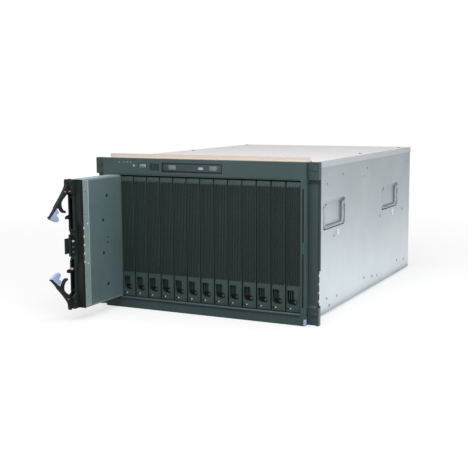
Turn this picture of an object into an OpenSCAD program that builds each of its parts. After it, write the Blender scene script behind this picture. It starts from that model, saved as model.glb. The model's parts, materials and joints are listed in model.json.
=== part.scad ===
// Blade server chassis, 7U high, for a 19 inch rack. Millimetres, +X right, +Y back, +Z up.
// The origin is the centre of the underside of the case. One blade is drawn part of the way out.

/* [Case] */
// Width of the case over the lips of its cover
case_w = 444; // [436:1:446]
// Height of the case from its underside to its top
case_h = 296; // [290:1:310]
// Depth of the case behind the rack plane
case_d = 660; // [620:5:720]
// Thickness of the steel sheet
sheet = 1.2; // [0.8:0.1:1.6]
// Height of the lips that fold down over the sides
lip_h = 12; // [8:1:20]
// Height of the beige catch strip above the case
strip_h = 10; // [6:1:14]
// Depth of the switch and power modules' handles behind the case
handle_reach = 33; // [25:1:45]

/* [Rack flanges] */
// How far each flange stands out beside the case
ear_w = 19.3; // [17:0.1:21]
// How far the flanges hang below the case
flange_drop = 4; // [2:0.5:6]
// How far the flanges stand above the case
flange_rise = 2; // [1:0.5:4]
// Thickness of a flange
flange_t = 2.5; // [2:0.1:3]
// Distance of the rack slots from the outer edge of their flange
slot_in = 8.75; // [8:0.05:9.5]
// Width of a rack slot
slot_w = 7; // [6:0.1:7.5]
// Length of a rack slot
slot_l = 10; // [9:0.1:11]

/* [Front bezel] */
// How far the bezel stands in front of the rack plane
bezel_proud = 18; // [16:0.5:22]
// Wall of the bezel moulding
bezel_wall = 3; // [2:0.25:4]
// How much narrower the bezel is than the case, on each side
bezel_inset = 3; // [2:0.5:4]
// Width of each side post
post_w = 10; // [9:0.1:12]
// Height of the panel over the bays
panel_h = 33; // [30:0.5:38]
// Height of the sill under the bays
sill_h = 23; // [21:0.5:26]

/* [Bays and fillers] */
// Side gap between two neighbours in the bays
bay_gap = 0.85; // [0.6:0.05:1.2]
// Height of the guide ribs
rib_h = 2.6; // [2:0.1:3]
// How far the fillers lie behind the bezel's face
filler_set_back = 2; // [1:0.5:4]
// Depth of a filler's runners
filler_d = 90; // [60:5:140]
// Thickness of a filler's face
filler_t = 2; // [1.6:0.1:2.6]
// Diameter of the holes in the perforated faces
mesh_hole = 3.4; // [2.8:0.1:3.8]
// Distance between two columns of holes
mesh_step = 4.1; // [3.9:0.05:4.5]

/* [Blade] */
// Depth of a blade from its face to its rear connectors
blade_d = 440; // [420:5:450]
// How far the blade is drawn out
blade_out = 125; // [60:5:160]
// Sheet of the blade's tray and cover
blade_sheet = 1; // [0.8:0.1:1.2]
// Opening angle at which the two levers stand
lever_open = 49; // [20:1:60]
// Length of a lever from its pin to its tip
lever_l = 80; // [76:1:84]
// Radius of the lever pins
lever_pin_r = 2; // [1.5:0.1:2.5]

/* [Side handles] */
// Distance between the legs of a side handle
bail_span = 104; // [95:1:112]
// Height of a side handle below its pivots
bail_h = 40; // [34:1:44]
// Radius of the handle bar
bail_r = 2.6; // [2.2:0.1:3]
// Depth of the pocket that the handle hangs in
pocket_depth = 7; // [6.8:0.1:8.5]

/* [Rear modules] */
// Width of the middle block of switch modules
middle_w = 140; // [136:1:150]
// Diameter of a blower wheel
wheel_d = 104; // [90:1:110]

/* [Hidden] */

$fn = 32;
eps = 0.01;
play = 0.3;           // gap between a moving piece and what guides it
seat = 0.1;           // gap between pieces that are fixed to each other

steel = [0.72, 0.75, 0.77];
cream = [0.86, 0.80, 0.74];
slate = [0.24, 0.29, 0.30];
coal = [0.10, 0.12, 0.12];
pale_blue = [0.60, 0.68, 0.88];

// Case and bezel
rack_unit = 44.45;
wall_x = case_w / 2 - sheet;                    // outer face of the base's sides, under the lips
inner_x = wall_x - sheet;                       // inner face of the base's sides
rack_w = case_w + 2 * ear_w;                    // 482.6 for a 19 inch rack
ear_x = wall_x - 10.5;                          // inner edge of the flanges, behind the bezel
bezel_w = case_w - 2 * bezel_inset;
cover_y = 12;                                   // front edge of the top cover
bezel_bottom = -flange_drop;
bezel_top = case_h + flange_rise;
bezel_h = bezel_top - bezel_bottom;
bay_floor = bezel_bottom + sill_h;              // top of the sill and of the lower guide plate
bay_ceiling = bezel_top - panel_h;              // underside of the panel and of the upper guide plate
open_w = bezel_w - 2 * post_w;                  // clear width for all the bays
bay_count = 14;
bay_pitch = open_w / bay_count;
blade_w = bay_pitch - bay_gap;
blade_h = bay_ceiling - bay_floor - 2 * play;
blade_z = bay_floor + play;
runner_in = 1.2;                                // how much narrower a runner is than its blade, a side
runner_h = rib_h + play;                        // height of the narrow runners
rib_w = bay_gap + 2 * runner_in - 2 * play;
guide_t = 2;
face_y = -bezel_proud;                          // front face of the bezel
blade_in_y = face_y - 3;                        // face of an inserted blade
midplane_y = blade_in_y + blade_d + 11;
midplane_t = 4;

// Blade, in its own frame: x from its left side, y from its face, z from its underside
blade_y = blade_in_y - blade_out;
left_half = 13.5;                               // width of the lever side of the blade's face
left_proud = 6;                                 // how far the lever side stands forward
lever_x = 3;                                    // left side of a lever
lever_w = 6.5;
pin_y = -12.5;                                  // lever pin in front of the blade's face
pin_in = 13.5;                                  // lever pin from the blade's top or bottom
ear_t = 2.5;
bezel_plug = 14;                                // depth of the blade's bezel inside its tray
strip_d = 17.5;                                 // depth of the tray's front frame

// Side handles
pocket_x = wall_x - pocket_depth;               // floor of a pocket
bail_x = pocket_x + bail_r + 1.4;               // axis of a handle's pivots
bail_z = case_h - 89;
pocket_z0 = bail_z - bail_h - bail_r - 1.5;
pocket_z1 = bail_z + 11;
bail_fronts = [77, 446];                        // front leg of each handle, behind the rack plane
lug_t = 4;                                      // thickness of the lugs that hold the pivots
pocket_front = bail_r + 7;                      // from a front leg to its pocket's front end
pocket_rear = bail_r + play + lug_t + 0.9;      // from a rear leg to its pocket's rear end

// Media panel
drive_w = 128;
drive_h = 14.4;
drive_d = 129;
drive_x0 = 138.6 - bezel_w / 2;
drive_z = bezel_top - 16;                       // centre height of the drive
media_gap = 0.8;

// Rear
rear_y = case_d;
plug_d = 8;                                     // depth of the midplane's rear connectors
module_d = rear_y - midplane_y - midplane_t - plug_d - play;
frame_t = 1.6;
clear_x = pocket_x - sheet - seat;              // half the width that is free between the handle pockets
side_w = clear_x - middle_w / 2;                // width of each side column
shelf_t = 1.6;
column_h = case_h - 2 * sheet - 2 * seat;
column_z = sheet + seat;

module from_rack_plane() translate([0, -case_d / 2, 0]) children();

// A flat outline in X and Z, made thick from y0 to y0 + depth
module front_slab(y0, depth) translate([0, y0 + depth, 0]) rotate([90, 0, 0]) linear_extrude(depth) children();

// A flat outline in Y and Z, made thick from x0 to x0 + width
module side_slab(x0, width) translate([x0, 0, 0]) rotate([90, 0, 90]) linear_extrude(width) children();

module block(x0, x1, y0, y1, z0, z1) translate([x0, y0, z0]) cube([x1 - x0, y1 - y0, z1 - z0]);

module box2(x0, x1, y0, y1) translate([x0, y0]) square([x1 - x0, y1 - y0]);

module round_box2(x0, x1, y0, y1, r) {
    box2(x0 + r, x1 - r, y0, y1);
    box2(x0, x1, y0 + r, y1 - r);
    for (x = [x0 + r, x1 - r], y = [y0 + r, y1 - r]) translate([x, y]) circle(r);
}

module slot2(x, y, length, width) {
    box2(x - (length - width) / 2, x + (length - width) / 2, y - width / 2, y + width / 2);
    for (s = [-1, 1]) translate([x + s * (length - width) / 2, y]) circle(width / 2);
}

// Staggered round holes in columns that are step apart, inside x0..x1 and y0..y1
module hole_field(x0, x1, y0, y1, hole, step) {
    cols = floor((x1 - x0 - hole) / step);
    step_y = step * 2 / sqrt(3);
    rows = floor((y1 - y0 - hole - step_y / 2) / step_y);
    shift_x = (x0 + x1 - cols * step) / 2;
    shift_y = (y0 + y1 - (rows + 0.5) * step_y) / 2;
    for (c = [0 : cols], r = [0 : rows])
        translate([shift_x + c * step, shift_y + (r + 0.5 * (c % 2)) * step_y]) circle(hole / 2, $fn = 16);
}

// ---- Case ----

module handle_pocket(front_leg) {
    y0 = front_leg - pocket_front;
    y1 = front_leg + bail_span + pocket_rear;
    difference() {
        side_slab(pocket_x - sheet, wall_x - pocket_x + sheet)
            round_box2(y0 - sheet, y1 + sheet, pocket_z0 - sheet, pocket_z1 + sheet, 5 + sheet);
        side_slab(pocket_x, wall_x) round_box2(y0, y1, pocket_z0, pocket_z1, 5);
        translate([pocket_x - 2 * sheet, front_leg + 22, bail_z + 2.5]) rotate([0, 90, 0]) cylinder(h = 4 * sheet, r = 2.8);
    }
}

module handle_lugs(front_leg) {
    lug_r = bail_r + 1.6;
    for (y = [front_leg - bail_r - play - lug_t, front_leg + bail_span + bail_r + play])
        difference() {
            union() {
                block(pocket_x - eps, bail_x, y, y + lug_t, bail_z - lug_r, bail_z + lug_r);
                translate([bail_x, y + lug_t, bail_z]) rotate([90, 0, 0]) cylinder(h = lug_t, r = lug_r);
            }
            translate([bail_x, y + lug_t + 1, bail_z]) rotate([90, 0, 0]) cylinder(h = lug_t + 2, r = bail_r + 0.08);
        }
}

module case_side() {
    difference() {
        block(inner_x, wall_x, flange_t, case_d, 0, case_h - sheet);
        for (f = bail_fronts)
            side_slab(inner_x - 1, 2 * sheet + 2)
                round_box2(f - pocket_front, f + bail_span + pocket_rear, pocket_z0, pocket_z1, 5);
    }
    for (f = bail_fronts) {
        handle_pocket(f);
        handle_lugs(f);
        // lance under the pocket
        block(wall_x - eps, wall_x + 1, f + 66.5, f + 69.5, pocket_z0 - 16, pocket_z0 - 5);
    }
}

module base_shell() color(steel) from_rack_plane() {
    block(-wall_x, wall_x, flange_t, case_d, 0, sheet);
    for (s = [-1, 1]) {
        x0 = s > 0 ? clear_x + seat : -inner_x - eps;
        block(x0, x0 + inner_x - clear_x - seat + eps, case_d - frame_t, case_d, sheet - eps, case_h - sheet);
    }
    case_side();
    mirror([1, 0, 0]) case_side();
    block(-inner_x, inner_x, flange_t, flange_t + sheet, sheet - eps, bay_floor - guide_t - seat);
}

module top_cover() color(steel) from_rack_plane() {
    block(-case_w / 2, case_w / 2, cover_y, case_d, case_h - sheet, case_h);
    for (s = [-1, 1]) {
        x0 = s > 0 ? wall_x : -case_w / 2;
        block(x0, x0 + sheet, cover_y, case_d, case_h - lip_h, case_h - sheet + eps);
    }
}

module bezel_catch_strip() color(cream) from_rack_plane() {
    half = bezel_w / 2 - 2;
    foot = ear_x - seat;
    block(-foot, foot, -seat, cover_y - seat, case_h - sheet, case_h);
    block(-half, half, cover_y - 4.5, cover_y - 3, case_h - sheet, case_h + strip_h);
}

// ---- Rack flanges ----

module rack_flange() {
    outer = rack_w / 2;
    low = bezel_bottom;
    top = bezel_top;
    hole_x = outer - slot_in;
    hole_z = low + rack_unit / 2;                // middle hole of the lowest unit
    step_low = low + 37;
    step_high = top - 40;
    difference() {
        union() {
            front_slab(0, flange_t) difference() {
                box2(ear_x, outer, low, top);
                box2(outer - 2.4, outer + 1, step_low, step_low + 65);
                for (k = [0 : 3]) translate([outer - 0.4, step_low + 8 + k * 16]) circle(3.4);
            }
            // moulded cover of the ear, with a thick block at each end and a bevel under the upper one
            side_slab(bezel_w / 2 + 0.6, outer - 5 - bezel_w / 2)
                polygon([[eps, low + 1], [-7, low + 1], [-7, step_low - 3], [-4, step_low], [-4, step_high],
                    [-2.5, step_high + 1], [-2.5, step_high + 5], [-9, step_high + 8], [-9, top], [eps, top]]);
            block(outer - 5, outer, -7, eps, low, step_low - 3);
            block(outer - 5, outer, -9, eps, step_high + 8, top);
            // return along the inside of the case
            block(inner_x - 2 * sheet - seat, inner_x - seat, flange_t - eps, 56, 24, case_h - 30);
        }
        for (z = [hole_z, hole_z + 6 * rack_unit])
            front_slab(-20, 40) slot2(hole_x, z, slot_l, slot_w);
    }
}

module rack_flange_right() color(coal) from_rack_plane() rack_flange();

module rack_flange_left() color(coal) from_rack_plane() mirror([1, 0, 0]) rack_flange();

// ---- Front bezel ----

usb_x = [84 - bezel_w / 2, 102 - bezel_w / 2];
usb_z = bezel_top - 14;
lens_x = [for (d = [38.3, 50.1, 57.2, 65.4]) d - bezel_w / 2];
lens_z = bezel_top - 7.6;
lamp_x = 73.4 - bezel_w / 2;
lamp_z = bezel_top - 14;
sensor_x = [109.5 - bezel_w / 2, 130.5 - bezel_w / 2];
post_slot_x = bezel_w / 2 - 5;

module bezel_windows() {
    box2(drive_x0 - media_gap, drive_x0 + drive_w + media_gap, drive_z - drive_h / 2 - media_gap, drive_z + drive_h / 2 + media_gap);
    box2(usb_x[0], usb_x[1], usb_z - 4.5, usb_z + 4.5);
    for (x = lens_x) translate([x, lens_z]) circle(1.3);
    translate([lamp_x, lamp_z]) circle(2.6);
    for (k = [0 : 6]) box2(sensor_x[0] + k * 3.1, sensor_x[0] + k * 3.1 + 1.9, drive_z - 7, drive_z + 7);
}

module post_slot() {
    for (z = [[30, 130], [151, 250]])
        box2(post_slot_x - 1.5, post_slot_x + 1.5, z[0], z[1]);
}

module clip_lens() intersection() {
    translate([-9, 0]) circle(13);
    translate([9, 0]) circle(13);
}

module front_bezel() color(slate) from_rack_plane() {
    half = bezel_w / 2;
    back = -seat;
    depth = back - face_y;
    difference() {
        union() {
            front_slab(face_y, bezel_wall) difference() {
                round_box2(-half, half, bezel_bottom, bezel_top, 1.5);
                box2(-open_w / 2, open_w / 2, bay_floor, bay_ceiling);
                bezel_windows();
                post_slot();
                mirror([1, 0]) post_slot();
            }
            // outer and inner returns
            front_slab(face_y, depth) difference() {
                round_box2(-half, half, bezel_bottom, bezel_top, 1.5);
                box2(-half + 2, half - 2, bezel_bottom + 2, bezel_top - 2);
            }
            front_slab(face_y, depth) difference() {
                box2(-open_w / 2 - 1.6, open_w / 2 + 1.6, bay_floor - 2, bay_ceiling + 2);
                box2(-open_w / 2, open_w / 2, bay_floor, bay_ceiling);
            }
            // clips in the middle of the side slots
            for (s = [-1, 1]) translate([s * post_slot_x, 0, 140.5])
                front_slab(face_y - 1.4, 4) clip_lens();
            // ridge along the sill
            side_slab(-open_w / 2, open_w)
                polygon([[face_y + 1, bay_floor], [face_y - 2, bay_floor], [face_y - 3, bay_floor - 1.5],
                    [face_y - 3, bay_floor - 3], [face_y - 1, bay_floor - 4.5], [face_y + 1, bay_floor - 4.5]]);
        }
        block(-open_w / 2, open_w / 2, face_y - 1, face_y + 1, bay_floor - 6.5, bay_floor - 4.5);
        block(-half + 12, half - 12, face_y - 1, face_y + 0.8, bay_ceiling + 0.8, bay_ceiling + 2.4);
    }
    // release tabs at the lower corners
    for (s = [-1, 1]) translate([s * (half - 6), 0, 0])
        block(-4, 4, -6, -seat, bezel_bottom + 1.5, bezel_bottom + 12);
}

// ---- Guide plates and midplane ----

module guide_ribs(z0) for (k = [0 : bay_count])
    let (x = (k - bay_count / 2) * bay_pitch,
         x0 = max(x - rib_w / 2, -inner_x + sheet * 4), x1 = min(x + rib_w / 2, inner_x - sheet * 4))
        block(x0, x1, seat, midplane_y - 1, z0, z0 + rib_h);

// A sheet from the bezel to the midplane, notched at the front for the flanges
module guide_sheet(z0, half) {
    block(-ear_x + seat, ear_x - seat, 0, flange_t + 2 * seat, z0, z0 + guide_t);
    block(-half, half, flange_t + seat, midplane_y - seat, z0, z0 + guide_t);
}

module guide_plate_bottom() color(steel) from_rack_plane() {
    half = inner_x - 2 * sheet - 3 * seat;
    y0 = flange_t + sheet + seat;
    guide_sheet(bay_floor - guide_t, half);
    guide_ribs(bay_floor - eps);
    for (x = [-half, half - guide_t])
        block(x, x + guide_t, y0, midplane_y - seat, sheet + seat, bay_floor - guide_t + eps);
    for (k = [-2 : 2])
        block(k * 80 - 1, k * 80 + 1, y0, midplane_y - 20, sheet + seat, bay_floor - guide_t + eps);
}

module guide_plate_top() color(steel) from_rack_plane() {
    half = inner_x - 2 * sheet - 3 * seat;
    top = case_h - sheet - seat;
    difference() {
        guide_sheet(bay_ceiling, half);
        for (k = [0 : 8]) translate([-176 + k * 44, 260, bay_ceiling - 1]) cylinder(h = guide_t + 2, r = 11);
    }
    translate([0, 0, bay_ceiling - rib_h + eps]) guide_ribs(0);
    for (x = [-half, half - guide_t])
        block(x, x + guide_t, 14, midplane_y - seat, bay_ceiling + guide_t - eps, top);
    for (x = [-140, 100])
        block(x, x + 2, 14, midplane_y - 20, bay_ceiling + guide_t - eps, top);
    for (x = [drive_x0 + 2, drive_x0 + drive_w - 5])
        block(x, x + 3, 0, 110, bay_ceiling + guide_t - eps, drive_z - drive_h / 2 + 0.7 - seat);
}

module midplane_board() color([0.10, 0.28, 0.18]) from_rack_plane() {
    z0 = sheet + seat;
    z1 = case_h - sheet - seat;
    difference() {
        block(-clear_x, clear_x, midplane_y, midplane_y + midplane_t, z0, z1);
        for (k = [0 : bay_count - 1], z = [bay_floor + 16, bay_ceiling - 42])
            block((k - 6.5) * bay_pitch - 9, (k - 6.5) * bay_pitch + 9, midplane_y - 1, midplane_y + midplane_t + 1, z, z + 24);
    }
    // two connectors for each bay, and one block for each column at the rear
    for (k = [0 : bay_count - 1], z = [84, 174])
        block((k - 6.5) * bay_pitch - 6, (k - 6.5) * bay_pitch + 6, midplane_y - 4, midplane_y + eps, z, z + 40);
    for (x = [-side_w / 2 - middle_w / 2, 0, side_w / 2 + middle_w / 2], z = [60, 200])
        block(x - 30, x + 30, midplane_y + midplane_t - eps, midplane_y + midplane_t + plug_d, z - 12, z + 12);
}

// ---- Rear frame and its modules ----

row_h = column_h / 4;
blower_h = column_h / 2;
slim_w = middle_w / 4;
left_column = -clear_x;                         // power modules
right_column = middle_w / 2;                    // blowers

// Each cell is [x0, x1, z0, z1], the clear space between its shelves and dividers
function cell(x0, w, z0, h) = [x0 + shelf_t / 2, x0 + w - shelf_t / 2, z0 + shelf_t / 2, z0 + h - shelf_t / 2];
power_cells = [for (k = [0 : 3]) cell(left_column, side_w, column_z + k * row_h, row_h)];
blower_cells = [for (k = [0 : 1]) cell(right_column, side_w, column_z + k * blower_h, blower_h)];
slim_cells = [for (r = [0 : 1], c = [0 : 2]) cell(-middle_w / 2 + c * slim_w, slim_w, column_z + r * blower_h, blower_h)];
all_cells = concat(power_cells, blower_cells, slim_cells);

module rear_frame() color(steel) from_rack_plane() {
    y0 = rear_y - module_d;
    x0 = middle_w / 2 - slim_w;
    z1 = column_z + column_h;
    front_slab(rear_y - frame_t, frame_t) difference() {
        box2(-clear_x, clear_x, column_z, z1);
        for (c = all_cells) box2(c[0], c[1], c[2], c[3]);
        hole_field(x0 + 4, middle_w / 2 - 4, column_z + 8, z1 - 8, 6, 8);
    }
    for (x = [-middle_w / 2, x0, middle_w / 2])
        block(x - shelf_t / 2, x + shelf_t / 2, y0, rear_y - frame_t + eps, column_z, z1);
    for (x = [-middle_w / 2 + slim_w, -middle_w / 2 + 2 * slim_w], z = [column_z, z1 - 6, column_z + blower_h - 3])
        block(x - shelf_t / 2, x + shelf_t / 2, y0, rear_y - frame_t + eps, z, z + 6);
    for (k = [1 : 3])
        block(-clear_x, -middle_w / 2, y0, rear_y - frame_t + eps,
            column_z + k * row_h - shelf_t / 2, column_z + k * row_h + shelf_t / 2);
    block(-middle_w / 2, x0, y0, rear_y - frame_t + eps,
        column_z + blower_h - shelf_t / 2, column_z + blower_h + shelf_t / 2);
    block(middle_w / 2, clear_x, y0, rear_y - frame_t + eps,
        column_z + blower_h - shelf_t / 2, column_z + blower_h + shelf_t / 2);
}

// A face plate over a cell, its body, and a D-shaped handle whose grip is half_grip either side of hx
module module_face(c, hole_x0 = 0, hole_x1 = 0, hole_z0 = 0, hole_z1 = 0)
    front_slab(rear_y + play, 1.5) difference() {
        round_box2(c[0] - 0.4, c[1] + 0.4, c[2] - 0.4, c[3] + 0.4, 1.5);
        if (hole_x1 > hole_x0) hole_field(hole_x0, hole_x1, hole_z0, hole_z1, 5, 7);
    }

module module_box(c, wall = 1.2) difference() {
    block(c[0] + play, c[1] - play, rear_y - module_d, rear_y + play + eps, c[2] + play, c[3] - play);
    block(c[0] + play + wall, c[1] - play - wall, rear_y - module_d + wall, rear_y + play + 2 * eps,
        c[2] + play + wall, c[3] - play - wall);
}

module d_handle(hx, hz, half_grip) {
    y0 = rear_y + play + 1.5 - eps;
    translate([0, 0, hz - 4]) linear_extrude(8) difference() {
        round_box2(hx - half_grip, hx + half_grip, y0 - 6, rear_y + handle_reach, 6);
        round_box2(hx - half_grip + 5, hx + half_grip - 5, y0 - 12, rear_y + handle_reach - 6, 3);
        box2(hx - half_grip - 1, hx + half_grip + 1, y0 - 7, y0);
    }
}

module power_module(k) color([0.55, 0.57, 0.58]) from_rack_plane() {
    c = power_cells[k];
    mid_z = (c[2] + c[3]) / 2;
    module_box(c);
    difference() {
        module_face(c, c[0] + 46, c[1] - 6, c[2] + 22, c[3] - 6);
        front_slab(rear_y - 5, 20) round_box2(c[0] + 10, c[0] + 38, mid_z - 12, mid_z + 12, 3);
    }
    // mains inlet: cup with three blades
    difference() {
        front_slab(rear_y - 16, 16 + play + eps) round_box2(c[0] + 8.5, c[0] + 39.5, mid_z - 13.5, mid_z + 13.5, 4);
        front_slab(rear_y - 14, 20) round_box2(c[0] + 10, c[0] + 38, mid_z - 12, mid_z + 12, 3);
    }
    for (x = [-8, 0, 8]) block(c[0] + 24 + x - 1, c[0] + 24 + x + 1, rear_y - 15, rear_y - 3, mid_z - 4 + (x == 0 ? 3 : 0), mid_z + 4 + (x == 0 ? 3 : 0));
    d_handle(c[1] - 46, c[2] + 12, 34);
}

module blower(k) color([0.30, 0.33, 0.34]) from_rack_plane() {
    c = blower_cells[k];
    x = (c[0] + c[1]) / 2;
    z = (c[2] + c[3]) / 2 + 4;
    difference() {
        module_box(c, 2);
        front_slab(rear_y - module_d - 1, 4) translate([x, z]) circle(wheel_d * 0.36);
    }
    difference() {
        module_face(c);
        front_slab(rear_y - 1, 5) translate([x, z]) for (r = [20 : 7.5 : wheel_d / 2 - 4]) difference() {
            circle(r + 4.6);
            circle(r);
            for (a = [0 : 60 : 120]) rotate(a + 30) square([200, 4], center = true);
        }
    }
    // motor on the grille, with the spindle that carries the wheel
    translate([x, rear_y + play + eps, z]) rotate([90, 0, 0]) cylinder(h = 44, r = 18);
    translate([x, rear_y + play, z]) rotate([90, 0, 0]) cylinder(h = 112, r = 4);
    d_handle(x, c[2] + 8, 36);
}

module impeller(k) color([0.15, 0.16, 0.17]) from_rack_plane() {
    c = blower_cells[k];
    x = (c[0] + c[1]) / 2;
    z = (c[2] + c[3]) / 2 + 4;
    y0 = rear_y - 108;
    r1 = wheel_d / 2;
    translate([x, 0, z]) {
        difference() {
            union() {
                front_slab(y0 + 56, 3) circle(r1);
                front_slab(y0 + 14, 43) circle(10);
            }
            front_slab(y0, 80) circle(4.08);
        }
        front_slab(y0 + 10, 2.5) difference() {
            circle(r1);
            circle(r1 * 0.74);
        }
        front_slab(y0 + 12.5 - eps, 43.5 + 2 * eps) for (a = [0 : 40 : 320]) rotate(a) impeller_blade(r1);
    }
}

module impeller_blade(r1) intersection() {
    difference() {
        circle(r1 - 0.5);
        circle(r1 * 0.6);
    }
    translate([r1 * 0.35, -r1 * 0.62]) difference() {
        circle(r1 * 0.85);
        circle(r1 * 0.85 - 1.8);
    }
    square([r1 * 2, r1 * 2]);
}

// Latch lever of a slim module: a bent tab with a hole for a fingertip
module slim_latch(c) {
    x = (c[0] + c[1]) / 2;
    side_slab(x - 6, 12)
        polygon([[rear_y + play + 1.5 - eps, c[3] - 12], [rear_y + 14, c[3] - 12], [rear_y + 22, c[3] - 20], [rear_y + 22, c[3] - 34],
            [rear_y + 19, c[3] - 34], [rear_y + 19, c[3] - 21], [rear_y + 13, c[3] - 15], [rear_y + play + 1.5 - eps, c[3] - 15]]);
}

module slim_module(c, ports) from_rack_plane() {
    x = (c[0] + c[1]) / 2;
    module_box(c);
    difference() {
        module_face(c);
        for (k = [0 : ports - 1])
            front_slab(rear_y - 1, 5) box2(x - 7, x + 7, c[2] + 12 + k * 16, c[2] + 12 + k * 16 + 12);
    }
    // sockets behind the openings
    for (k = [0 : ports - 1])
        block(x - 8, x + 8, rear_y - 18, rear_y - 9, c[2] + 11 + k * 16, c[2] + 25 + k * 16);
    block(x - 8, x + 8, rear_y - 20, rear_y - 18 + eps, c[2] + play, c[3] - play);
    slim_latch(c);
}

module blank(c) {
    module_face(c, c[0] + 5, c[1] - 5, c[2] + 30, c[3] - 12);
    difference() {
        block(c[0] + play, c[1] - play, rear_y - 24, rear_y + play + eps, c[2] + play, c[3] - play);
        block(c[0] + play + 1.2, c[1] - play - 1.2, rear_y - 25, rear_y + 1, c[2] + play + 1.2, c[3] - play - 1.2);
    }
    front_slab(rear_y + play + 1.4, 3) round_box2((c[0] + c[1]) / 2 - 4, (c[0] + c[1]) / 2 + 4, c[2] + 8, c[2] + 22, 1.5);
}

module rear_blanks() color([0.45, 0.47, 0.48]) from_rack_plane() for (k = [1, 2, 5]) blank(slim_cells[k]);
module management_module() color(steel) slim_module(slim_cells[0], 3);
module io_module_1() color([0.5, 0.52, 0.54]) slim_module(slim_cells[3], 6);
module io_module_2() color([0.5, 0.52, 0.54]) slim_module(slim_cells[4], 6);
module power_module_1() power_module(0);
module power_module_2() power_module(1);
module power_module_3() power_module(2);
module power_module_4() power_module(3);
module blower_lower() blower(0);
module blower_upper() blower(1);
module impeller_lower() impeller(0);
module impeller_upper() impeller(1);

// ---- Fasteners ----

// Behind the rack plane and above the underside, in the order of the rows on the side
rivet_spots = [[86, case_h - 45], [175, case_h - 33], [309, case_h - 46], [327, case_h - 30],
    [case_d - 30, case_h - 34], [126, bail_z - 61], [423, bail_z - 56], [case_d - 63, bail_z - 57],
    [88, 28], [102, 12], [145, 23], [314, 30], [370, 24], [406, 20], [case_d - 100, 30], [case_d - 40, 24]];

module case_fasteners() color(steel) from_rack_plane() {
    for (s = [-1, 1], p = rivet_spots)
        translate([s * wall_x, p[0], p[1]]) rotate([0, s * 90, 0]) difference() {
            cylinder(h = sheet - 0.1, r1 = 3, r2 = 2);
            translate([0, 0, sheet - 0.6]) cylinder(h = 1, r = 1);
        }
    // cover screws
    for (x = [-1, 1], y = [40, 330, 620])
        translate([x * (case_w / 2 - 18), y, case_h]) difference() {
            cylinder(h = 1.6, r = 3.5);
            translate([0, 0, 0.8]) cylinder(h = 2, r = 1.5, $fn = 6);
        }
    // screws of the rear frame
    for (x = [-1, 1], z = [30, case_h / 2, case_h - 30])
        translate([x * (clear_x + 4.5), rear_y - frame_t + frame_t, z]) rotate([-90, 0, 0]) difference() {
            cylinder(h = 1.8, r = 3.2);
            translate([0, 0, 1]) cylinder(h = 2, r = 1.4, $fn = 6);
        }
}

// ---- Media ----

drive_front = face_y + 0.8;
eject_x = drive_x0 + 84;
eject_z = drive_z - 0.6;

module optical_drive() color(steel) from_rack_plane() {
    x1 = drive_x0 + drive_w;
    y0 = drive_front + 3 + play;
    z0 = drive_z - drive_h / 2 + 0.7;
    z1 = drive_z + drive_h / 2 - 0.7;
    difference() {
        block(drive_x0, x1, y0, y0 + drive_d, z0, z1);
        block(drive_x0 + 0.8, x1 - 0.8, y0 - 1, y0 + drive_d - 4, z0 + 0.8, z1 - 0.8);
    }
    for (x = [drive_x0 + 0.8 - eps, x1 - 2.4]) block(x, x + 1.6 + eps, y0 + 2, y0 + drive_d - 4, z0 + 4.2, z0 + 5.4);
}

module disc_tray() color([0.30, 0.34, 0.36]) from_rack_plane() {
    z0 = drive_z - drive_h / 2 + 0.7 + 0.8 + play;
    x0 = drive_x0 + 0.8 + play;
    x1 = drive_x0 + drive_w - 0.8 - play;
    mid = (x0 + x1) / 2;
    difference() {
        front_slab(drive_front, 3) round_box2(drive_x0, drive_x0 + drive_w, drive_z - drive_h / 2, drive_z + drive_h / 2, 1.2);
        front_slab(drive_front - 1, 5) box2(eject_x - 5.6, eject_x + 5.6, eject_z - 2.6, eject_z + 2.6);
        for (x = [-58, 31]) block(mid + x - 8, mid + x + 8, drive_front - 1, drive_front + 0.4, drive_z - 4.5, drive_z + 4.5);
    }
    difference() {
        block(x0, x1, drive_front + 3 - eps, drive_front + drive_d - 4, z0, z0 + 2.8);
        translate([mid, drive_front + 66, z0 + 1.2]) cylinder(h = 4, r = 60.5);
        translate([mid, drive_front + 66, z0 - 1]) cylinder(h = 6, r = 17);
        block(mid - 13, mid + 13, drive_front + 66, drive_front + 124, z0 - 1, z0 + 4);
        block(eject_x - 8, eject_x + 8, drive_front + 2.9, drive_front + 6, z0 - 1, z0 + 4);
    }
}

module eject_button() color([0.8, 0.83, 0.88]) from_rack_plane() {
    front_slab(drive_front - 0.6, 2.6) round_box2(eject_x - 5.3, eject_x + 5.3, eject_z - 2.3, eject_z + 2.3, 0.8);
}

module usb_port() color([0.75, 0.76, 0.78]) from_rack_plane() {
    x = (usb_x[0] + usb_x[1]) / 2;
    y0 = face_y + 0.6;
    difference() {
        front_slab(y0, -2 - seat - y0) round_box2(x - 7.4, x + 7.4, usb_z - 3.3, usb_z + 3.3, 0.8);
        front_slab(y0 - 1, -6 - y0) round_box2(x - 6.8, x + 6.8, usb_z - 2.7, usb_z + 2.7, 0.5);
    }
    block(x - 5.6, x + 5.6, y0 + 1.5, -5, usb_z + 0.3, usb_z + 2.1);
}

module panel_lights() color([0.75, 0.85, 0.80]) from_rack_plane() {
    block(lens_x[0] - 6.3, usb_x[1] + 4, -2, -0.4, usb_z - 7, bezel_top - 2 - seat);
    for (x = lens_x) translate([x, -2 + eps, lens_z]) rotate([90, 0, 0]) cylinder(h = bezel_proud - 1.8, r = 1.15);
    translate([lamp_x, -2 + eps, lamp_z]) rotate([90, 0, 0]) cylinder(h = bezel_proud - 1.4, r = 2.4);
}

// ---- Side handles ----

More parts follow.
